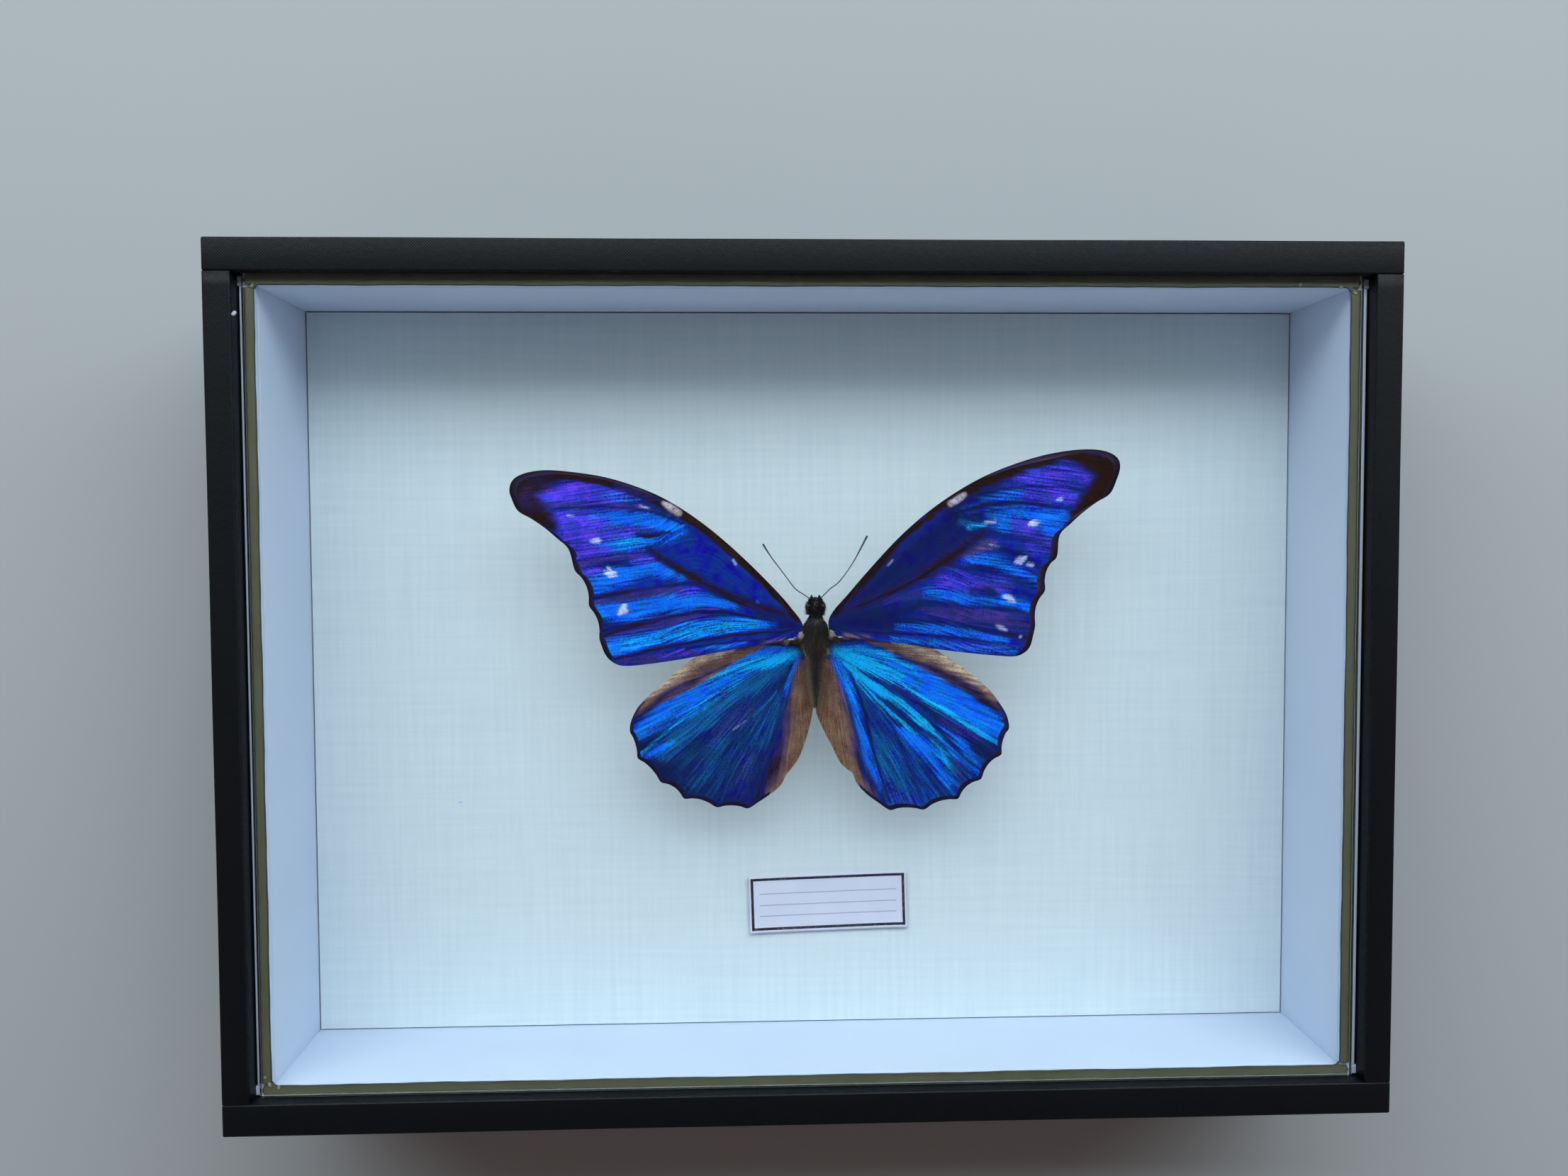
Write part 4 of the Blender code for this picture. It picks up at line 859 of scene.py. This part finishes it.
HINDWING_RIGHT = [
    ("teal", (90.0,), 1.0, 0.25, [(20, -25)]),
    ("azure", (3.0, 5.0, 7.0, 7.4, 6.4, 3.6), 1.4, 0.92,
     [(6, -5.6), (13, -7.2), (21.5, -10.8), (29.5, -15.4), (37.5, -20.6), (43.6, -24.8)]),
    ("cyan", (1.8, 3.4, 3.2, 1.8), 1.6, 0.85, [(5.2, -6.0), (9.4, -7.4), (14, -8.9), (20, -11.6)]),
    ("cyan", (0.5, 0.9, 0.6), 0.8, 0.8, [(10, -4.7), (17, -6.9), (24, -10.6)]),
    ("navy", (0.4, 0.6, 0.4), 0.5, 0.5, [(9, -5.5), (14, -7.2), (19, -9.8)]),
    ("navy", (0.6, 1.8, 2.4, 2.8, 3.2, 3.0), 1.4, 0.88,
     [(14, -11.4), (21, -15.8), (27, -19.8), (33, -24.2), (38.5, -28.4), (42.8, -30.6)]),
    ("plum", (1.0, 1.8, 1.4), 1.4, 0.45, [(18, -13.2), (23, -16.6)]),
    ("plum", (1.4, 1.8, 1.0), 1.4, 0.6, [(30, -22), (34, -24.8), (40, -26.6)]),
    ("azure", (0.8, 1.6, 1.2), 1.4, 0.6, [(30, -24), (35, -28.4), (37.6, -31.6)]),
    ("cyan", (0.5, 1.0, 1.0, 0.9), 0.7, 0.92, [(17, -10.6), (24.6, -16.3), (31, -20), (43.6, -28.2)]),
    ("navy", (0.4, 1.0, 1.2, 1.6), 0.9, 0.85,
     [(10, -10.2), (18, -16.2), (25, -21.4), (31, -26.4), (36, -33.4)]),
    ("cyan", (0.9, 1.9, 2.0, 1.9, 1.0), 0.7, 0.97,
     [(7, -8.6), (13, -13.4), (19, -17.6), (25, -22.4), (29.4, -26.4)]),
    ("azure", (0.8, 1.0, 1.2), 0.8, 0.7, [(28.4, -25.4), (33.4, -30.6), (39, -35.6)]),
    ("teal", (2.4, 2.0, 1.4), 1.2, 0.8, [(25.4, -25.2), (29, -29.4), (33, -34.6)]),
    ("cyan", (0.8, 1.2, 0.6), 1.2, 0.4, [(27.4, -26.8), (29.6, -29.8), (31.4, -33)]),
    ("azure", (1.6, 3.6, 3.0, 1.2), 1.4, 0.95, [(20, -23.6), (24.6, -27.8), (28.4, -32.4), (31.4, -37)]),
    ("cyan", (0.7, 1.2, 1.1, 0.6), 0.7, 0.9, [(9, -11.2), (13, -16), (18, -20.8), (24, -25.4)]),
    ("navy", (0.4, 0.6, 0.9), 0.6, 0.9, [(10, -12.4), (15, -18.4), (20.2, -23.4)]),
    ("navy", (1.0, 1.8, 1.0), 1.2, 0.7, [(17, -17.4), (21.6, -21.6), (24.4, -24.4)]),
    ("navy", (1.2, 3.0, 2.2), 2.2, 0.55, [(12, -17.5), (14, -22), (18, -26)]),
    ("violet", (2.0, 3.0, 2.0), 2.4, 0.3, [(16, -36), (19, -39.6), (22, -41)]),
    ("teal", (3.0, 4.0, 3.0), 2.4, 0.6, [(15, -27), (18, -33), (21, -38)]),
    ("azure", (1.4, 2.2, 1.3, 1.4, 1.9, 1.7, 0.8), 0.9, 0.92,
     [(4.8, -8.2), (7.4, -13.4), (9.4, -18.4), (10.4, -24), (11.8, -29), (13.4, -34), (15.4, -39.4)]),
    ("cyan", (0.6, 0.9, 0.3), 1.2, 0.4, [(5.4, -9), (8, -14), (9.2, -18)]),
    ("navy", (0.4, 0.9, 0.7, 0.7), 0.7, 0.92, [(8.4, -11), (11.4, -19), (13.6, -29), (17.6, -41.4)]),
    ("navy", (0.6, 1.0, 0.7), 0.9, 0.88, [(19, -25), (21.6, -32.4), (25, -41)]),
    ("navy", (0.6, 1.2, 1.0), 1.0, 0.75, [(24.6, -31), (27.4, -35.4), (30.4, -40)]),
    ("plum", (1.0, 1.8), 1.6, 0.6, [(33.6, -32.4), (34.8, -36.6)]),
    ("azure", (0.8, 1.4), 1.2, 0.35, [(41.4, -22.4), (44, -23.4)]),
    ("cyan", (0.8, 1.8, 1.8, 0.5), 1.2, 0.9, [(4.6, -5.2), (8, -6.8), (12, -9.2), (18, -13)]),
    ("bark", (2.4, 6.2, 8.6, 9.4, 6.4, 2.6, 1.2), 1.1, 0.95,
     [(2.6, -8.6), (2.2, -13.4), (2.7, -18.6), (4.4, -24.6), (6.8, -30.4), (10.0, -35.8), (13.4, -39.6)]),
    ("umber", (0.6, 1.4, 1.8, 1.8, 1.2), 1.8, 0.55,
     [(8.0, -19), (9.2, -25), (10.4, -31), (13.0, -37), (16.4, -41.6)]),
    ("bark", (0.8, 3.6, 5.6, 5.6, 4.0, 1.0), 0.8, 0.95,
     [(12, -2.8), (19, -4.4), (26.5, -7.1), (33, -10.7), (38.6, -14.6), (43.4, -19.5)]),
    ("umber", (2.6, 2.8, 2.0), 0.8, 0.85, [(4, -2.4), (11, -1.8), (18, -2.9)]),
    ("bark", (0.5, 0.8, 0.5), 0.8, 0.5, [(6, -2.6), (12, -2.7), (19, -3.9)]),
    ("umber", (0.6, 1.4, 1.8, 1.5), 1.0, 0.75, [(19, -6.4), (27, -9.8), (35, -14.0), (43, -19.6)]),
    ("umber", (0.08, 0.08), 0.5, 1.0, (-78, -18)),
    ("tan", (0.6, 1.8, 2.5, 2.1, 0.5), 1.4, 0.85,
     [(18.6, -3.6), (25, -5.3), (31, -7.9), (36, -11.1), (40, -14.5)]),
    ("bark", (3.0, 5.2, 4.4, 1.2), 1.0, 0.9, [(0.6, -15), (1.0, -21), (4.6, -28.4), (7.4, -33)]),
]
thin_wings = bpy.data.collections.new("thin_wings")
for name, side, root, lift, tilt, strokes, fold, tuck, seed in (
        ("forewing_left", -1, (4.2, 0.2), 0.4, 4.0, FOREWING_LEFT, 0.0, 0.0, 11),
        ("forewing_right", 1, (4.2, 0.4), 0.4, 4.0, FOREWING_RIGHT, 0.0, 0.0, 23),
        ("hindwing_left", -1, (3.6, -5.0), -2.4, 2.9, HINDWING_LEFT, 2.2, 2.4, 37),
        ("hindwing_right", 1, (3.6, -5.0), -2.4, 2.9, HINDWING_RIGHT, 2.2, 1.8, 41)):
    mesh = wing_mesh(name, np.array(root), side, lift, math.radians(tilt), strokes, fold, tuck, seed)
    wing = new_piece(name + "_shape", mesh, morpho_scales)
    thin_wings.objects.link(wing)
    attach(wing, "root")
    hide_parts(name)
for member in thin_wings.collection_objects:
    member.light_linking.link_state = "EXCLUDE"
through_lamp.light_linking.blocker_collection = thin_wings


# The body: black chitin, head, thorax and a ringed abdomen in one, with two domed glossy eyes. The
# rings of the abdomen are drawn as shallow steps.
BODY_RING_GAP = 1.7
BODY_LINE = [(7.3, 0.0), (6.9, 0.9), (6.0, 1.5), (4.8, 1.8), (3.4, 1.6), (2.6, 1.4), (1.6, 2.1), (0.2, 2.6),
             (-1.8, 2.7), (-3.8, 2.4), (-5.2, 1.7), (-6.4, 1.4), (-9.0, 1.4), (-12.5, 1.2), (-15.5, 0.9),
             (-17.6, 0.5), (-18.7, 0.0)]
body_rows = smooth_line(BODY_LINE, 9)
body_rows[:, 1] = np.maximum(body_rows[:, 1], 0)
body_rows[0, 1] = body_rows[-1, 1] = 0


def on_body(forwards, turn, out=0.0):
    """A point of the body: the profile's radius turned about its length, 1.08 times as tall as wide."""
    radius = np.interp(-forwards, -body_rows[:, 0], body_rows[:, 1])
    grooved = np.sin(forwards * math.tau / BODY_RING_GAP) > 0.7
    radius = radius * (1 - 0.05 * np.clip((-forwards - 6) / 2, 0, 1) * grooved) + out
    return np.stack(np.broadcast_arrays(THORAX[0] + radius * np.cos(turn), THORAX[1] + forwards,
                                        THORAX[2] + 1.08 * radius * np.sin(turn)), -1) * MM


body_skin, tree, shader = new_material("black_body_chitin")
bristle = add(tree, "TexNoise", inputs={"Vector": add(tree, "TexCoord").outputs["Object"], "Scale": 1400.0,
                                        "Detail": 3.0})
tone = add(tree, "Mix", {"data_type": "RGBA"}, {0: bristle.outputs["Fac"], 6: linear("#050507"),
                                                7: linear("#1b1718")})
relief = add(tree, "Bump", inputs={"Height": bristle.outputs["Fac"], "Strength": 0.5, "Distance": 0.1 * MM})
wire(tree, shader, {"Base Color": tone.outputs[2], "Roughness": 0.55, "Normal": relief.outputs[0]})
forwards = body_rows[:, :1]
around = np.linspace(0, math.tau, 41)[None, :]
body = new_piece("butterfly_body_shape", solid_mesh("butterfly_body_shape", on_body(forwards, around)),
                 body_skin)
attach(body, "root")
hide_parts("butterfly_body")

eye_glaze, tree, shader = new_material("glossy_black_eye_facets")
cells = add(tree, "TexVoronoi", inputs={"Vector": add(tree, "TexCoord").outputs["Object"], "Scale": 5000.0})
tone = add(tree, "Mix", {"data_type": "RGBA"}, {0: cells.outputs["Distance"], 6: linear("#1c1416"),
                                                7: linear("#050508")})
relief = add(tree, "Bump", inputs={"Height": cells.outputs["Distance"], "Strength": 0.2,
                                   "Distance": 0.03 * MM})
wire(tree, shader, {"Base Color": tone.outputs[2], "Roughness": 0.22, "Normal": relief.outputs[0]})
pole = np.linspace(0, math.pi, 19)[:, None]
around = np.linspace(0, math.tau, 29)[None, :]
for side, name in ((-1, "eye_left"), (1, "eye_right")):
    ball = np.stack(np.broadcast_arrays(np.cos(pole) * 0.95, np.sin(pole) * np.cos(around) * 1.15,
                                        np.sin(pole) * np.sin(around) * 1.15), -1)
    eye = new_piece(name, solid_mesh(name, (ball + THORAX + [side * 1.5, 4.9, 0.3]) * MM), eye_glaze)
    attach(eye, "root")


# The body's hair: black bristles on the head, long silky grey-brown hair on the thorax and down the
# abdomen, and pale tufts at the roots of the wings. A hair is a tapered three-sided spike.
def hairs(name, roots, ways, lengths, width, shades, bend):
    """Spikes from root points along unit directions, each a triangle, a half-size triangle and a tip.

    The middle lies straight out from the root and the tip is pulled aside by bend times the length.
    """
    count = len(roots)
    side = np.cross(ways, [0.3, 0.2, 0.93])
    side /= np.linalg.norm(side, axis=1, keepdims=True) + 1e-9
    up = np.cross(ways, side)
    turns = np.arange(3) * math.tau / 3
    ring = side[:, None] * np.cos(turns)[None, :, None] + up[:, None] * np.sin(turns)[None, :, None]
    length = lengths[:, None]
    middle = roots + ways * length * 0.5 + bend * length * 0.3
    tip = roots + ways * length + bend * length
    points = np.concatenate([roots[:, None] + ring * width, middle[:, None] + ring * width * 0.7,
                             tip[:, None]], 1)
    pattern = np.array([(0, 1, 4), (0, 4, 3), (1, 2, 5), (1, 5, 4), (2, 0, 3), (2, 3, 5),
                        (3, 4, 6), (4, 5, 6), (5, 3, 6), (0, 2, 1)])
    faces = (pattern[None] + 7 * np.arange(count)[:, None, None]).reshape(-1, 3)
    mesh = bpy.data.meshes.new(name)
    mesh.from_pydata(points.reshape(-1, 3), [], faces)
    mesh.attributes.new("shade", "FLOAT", "POINT").data.foreach_set(
        "value", np.repeat(shades, 7).astype(np.float32))
    return mesh


silky_hair, tree, shader = new_material("silky_black_and_brown_hair")
shade = add(tree, "Attribute", {"attribute_name": "shade"})
ramp = add(tree, "ValToRGB", inputs={0: shade.outputs["Fac"]})
ramp.color_ramp.elements[0].color = linear("#07080b")
ramp.color_ramp.elements[1].color = linear("#c9c4b0")
for position, hex_colour in ((0.3, "#2b2523"), (0.5, "#5b4a3c"), (0.75, "#8f7f5f")):
    ramp.color_ramp.elements.new(position).color = linear(hex_colour)
flecks = add(tree, "TexNoise", inputs={"Vector": add(tree, "TexCoord").outputs["Object"], "Scale": 2200.0})
tone = add(tree, "Mix", {"data_type": "RGBA", "blend_type": "MULTIPLY"},
           {0: 0.5, 6: ramp.outputs[0], 7: flecks.outputs["Color"]})
wire(tree, shader, {"Base Color": tone.outputs[2], "Roughness": 0.5, "Specular IOR Level": 0.15})

draw = np.random.default_rng(5)
BODY_HAIRS = 7000
forwards = draw.uniform(-18.2, 6.9, BODY_HAIRS)
turn = draw.uniform(-0.5, math.pi + 0.5, BODY_HAIRS)
roots = on_body(forwards, turn, -0.1)
normals = np.column_stack([np.cos(turn), np.zeros(BODY_HAIRS), np.sin(turn)])
stand = np.interp(forwards, [-18, -6, -2], [0.3, 0.4, 0.5])[:, None]
ways = normals * stand + [0, -0.8, 0.05] + draw.normal(0, 0.2, (BODY_HAIRS, 3)) * (0.4 + stand)
ways[forwards > 3] += [0, 0.9, 0.1]
ways /= np.linalg.norm(ways, axis=1, keepdims=True)
lengths = np.interp(forwards, [-18, -12, -6, -2, 2, 7], [0.9, 1.4, 1.9, 1.9, 1.2, 0.7])
lengths *= draw.uniform(0.6, 1.2, BODY_HAIRS)
shades = np.interp(forwards, [-18, -12, -6, -3, 1, 3], [0.3, 0.2, 0.18, 0.32, 0.06, 0.0])
shades += np.abs(np.cos(turn)) ** 1.4 * np.interp(forwards, [-16, -6, -2], [0.6, 0.4, 0.0])
shades = np.clip(shades + draw.normal(0, 0.09, BODY_HAIRS), 0, 0.7)
coat = new_piece("body_hair", hairs("body_hair", roots, ways, lengths * MM, 0.07 * MM, shades,
                                    draw.normal(0, 0.12, (BODY_HAIRS, 3))), silky_hair)
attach(coat, "root")

tufts = []
for x, y, z, spread, number, shade, lean in (
        (-3.3, -1.2, 1.0, 0.22, 110, 0.95, (-0.2, -0.7, 0.5)),
        (3.6, -0.8, 1.0, 0.2, 100, 0.92, (0.2, -0.6, 0.5)),
        (2.5, -5.0, 1.0, 0.25, 80, 0.8, (0.1, -0.7, 0.5)),
        (-3.9, -2.4, -0.2, 0.6, 120, 0.4, (-0.6, -0.5, 0.2)),
        (4.2, -2.2, -0.2, 0.6, 120, 0.4, (0.6, -0.5, 0.2)),
        (-6.4, -3.0, 0.4, 0.3, 26, 0.7, (-0.8, -0.3, 0.3)),
        (6.6, -2.0, 0.4, 0.3, 26, 0.55, (0.8, -0.3, 0.3))):
    start = THORAX + [x, y, z] + draw.normal(0, spread, (number, 3)) * [1, 1, 0.3]
    way = np.array(lean) + draw.normal(0, 0.25, (number, 3))
    way /= np.linalg.norm(way, axis=1, keepdims=True)
    tufts.append((start * MM, way, draw.uniform(0.8, 1.7, number) * MM,
                  np.clip(shade + draw.normal(0, 0.08, number), 0, 1)))
start, way, long, shade = [np.concatenate(part) for part in zip(*tufts)]
tuft = new_piece("wing_root_tufts", hairs("wing_root_tufts", start, way, long, 0.06 * MM, shade,
                                          draw.normal(0, 0.1, (len(start), 3))), silky_hair)
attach(tuft, "root")


# The feelers and the palps: thin rods of dark chitin. A feeler is ringed, about 0.26 mm thick, and
# thickens to a slim club; the two palps are short blunt points before the head.
FEELER_RING_GAP = 0.45


def rod(name, points, radii, rings=0.0):
    """A tube round a smooth line, closed at both ends, whose radius ripples by a sine along it."""
    line = smooth_line(np.column_stack([points, radii]), 24)
    way = np.gradient(line[:, :3], axis=0)
    way /= np.linalg.norm(way, axis=1, keepdims=True)
    across = np.cross(way, [0, 0, 1])
    across /= np.linalg.norm(across, axis=1, keepdims=True)
    up = np.cross(across, way)
    travelled = np.concatenate([[0], np.cumsum(np.linalg.norm(np.diff(line[:, :3], axis=0), axis=1))])
    radius = line[:, 3] * (1 + rings * np.sin(travelled * math.tau / FEELER_RING_GAP))
    turn = np.linspace(0, math.tau, 13)
    grid = line[:, None, :3] + radius[:, None, None] * (across[:, None] * np.cos(turn)[None, :, None]
                                                        + up[:, None] * np.sin(turn)[None, :, None])
    ends = [np.repeat(line[row, None, None, :3], len(turn), 1) for row in (0, -1)]
    grid = np.concatenate([ends[0], grid, ends[1]])
    return solid_mesh(name, grid * MM)


feeler_chitin, tree, shader = new_material("ringed_dark_feeler_chitin")
grey = add(tree, "TexNoise", inputs={"Vector": add(tree, "TexCoord").outputs["Object"], "Scale": 1800.0})
tone = add(tree, "Mix", {"data_type": "RGBA"}, {0: grey.outputs["Fac"], 6: linear("#1d1f26"),
                                                7: linear("#4d5058")})
wire(tree, shader, {"Base Color": tone.outputs[2], "Roughness": 0.45})
for name, route in (
        ("antenna_left", [(-1.3, 6.8), (-2.8, 7.9), (-4.8, 9.3), (-7.3, 12.6), (-10.3, 16.6),
                          (-12.2, 19.6)]),
        ("antenna_right", [(1.2, 7.0), (3.3, 9.1), (5.5, 10.9), (8.6, 15.2), (11.9, 21.4)])):
    route = np.array(route)
    share = np.linspace(0, 1, len(route))
    points = np.column_stack([THORAX[:2] + route, THORAX[2] + 1.2 + 1.2 * share])
    radii = np.interp(share, [0, 0.75, 0.9, 1], [0.13, 0.12, 0.17, 0.24])
    feeler = new_piece(name + "_shape", rod(name, points, radii, 0.14), feeler_chitin)
    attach(feeler, "root")
    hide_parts(name)
for side, name in ((-1, "palp_left"), (1, "palp_right")):
    points = THORAX + np.array([(side * 0.7, 6.0, -0.4), (side * 0.9, 7.0, 0.1), (side * 0.9, 7.7, 0.6)])
    palp = new_piece(name, rod(name, points, [0.45, 0.4, 0.12]), body_skin)
    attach(palp, "root")


# The pin, the foam it stands in, and the board under the tray: black enamelled steel wire, white
# closed-cell foam, and grey board faced with plain black paper.
black_enamel, tree, shader = new_material("black_enamelled_steel_pin")
wear = add(tree, "TexNoise", inputs={"Vector": add(tree, "TexCoord").outputs["Object"], "Scale": 900.0})
tone = add(tree, "Mix", {"data_type": "RGBA"}, {0: wear.outputs["Fac"], 6: linear("#0a0a0c"),
                                                7: linear("#26262a")})
wire(tree, shader, {"Base Color": tone.outputs[2], "Roughness": 0.3})
nodes["pin"].data.materials[0] = black_enamel

white_foam, tree, shader = new_material("white_closed_cell_foam")
cells = add(tree, "TexVoronoi", inputs={"Vector": add(tree, "TexCoord").outputs["Object"], "Scale": 1400.0})
tone = add(tree, "Mix", {"data_type": "RGBA"}, {0: cells.outputs["Distance"], 6: linear("#d3d8dc"),
                                                7: linear("#eef0f0")})
relief = add(tree, "Bump", inputs={"Height": cells.outputs["Distance"], "Strength": 0.4,
                                   "Distance": 0.2 * MM})
wire(tree, shader, {"Base Color": tone.outputs[2], "Roughness": 0.9, "Normal": relief.outputs[0]})
nodes["foam_slab"].data.materials[0] = white_foam

black_paper, tree, shader = new_material("black_lining_paper_on_board")
place = add(tree, "TexCoord").outputs["Object"]
fibres = add(tree, "TexNoise", inputs={"Vector": place, "Scale": 600.0, "Detail": 4.0})
scuffs = add(tree, "TexNoise", inputs={"Vector": place, "Scale": 30.0, "Detail": 3.0})
tone = add(tree, "Mix", {"data_type": "RGBA"}, {0: fibres.outputs["Fac"], 6: linear("#101216"),
                                                7: linear("#26292d")})
scuffed = add(tree, "MapRange", inputs={"Value": scuffs.outputs["Fac"], "From Min": 0.55, "From Max": 0.75,
                                        "To Max": 0.5})
worn = add(tree, "Mix", {"data_type": "RGBA"}, {0: scuffed.outputs[0], 6: tone.outputs[2],
                                                7: linear("#3c3d3e")})
relief = add(tree, "Bump", inputs={"Height": fibres.outputs["Fac"], "Strength": 0.3, "Distance": 0.05 * MM})
wire(tree, shader, {"Base Color": worn.outputs[2], "Roughness": 0.75, "Normal": relief.outputs[0]})
nodes["bottom_board"].data.materials[0] = black_paper
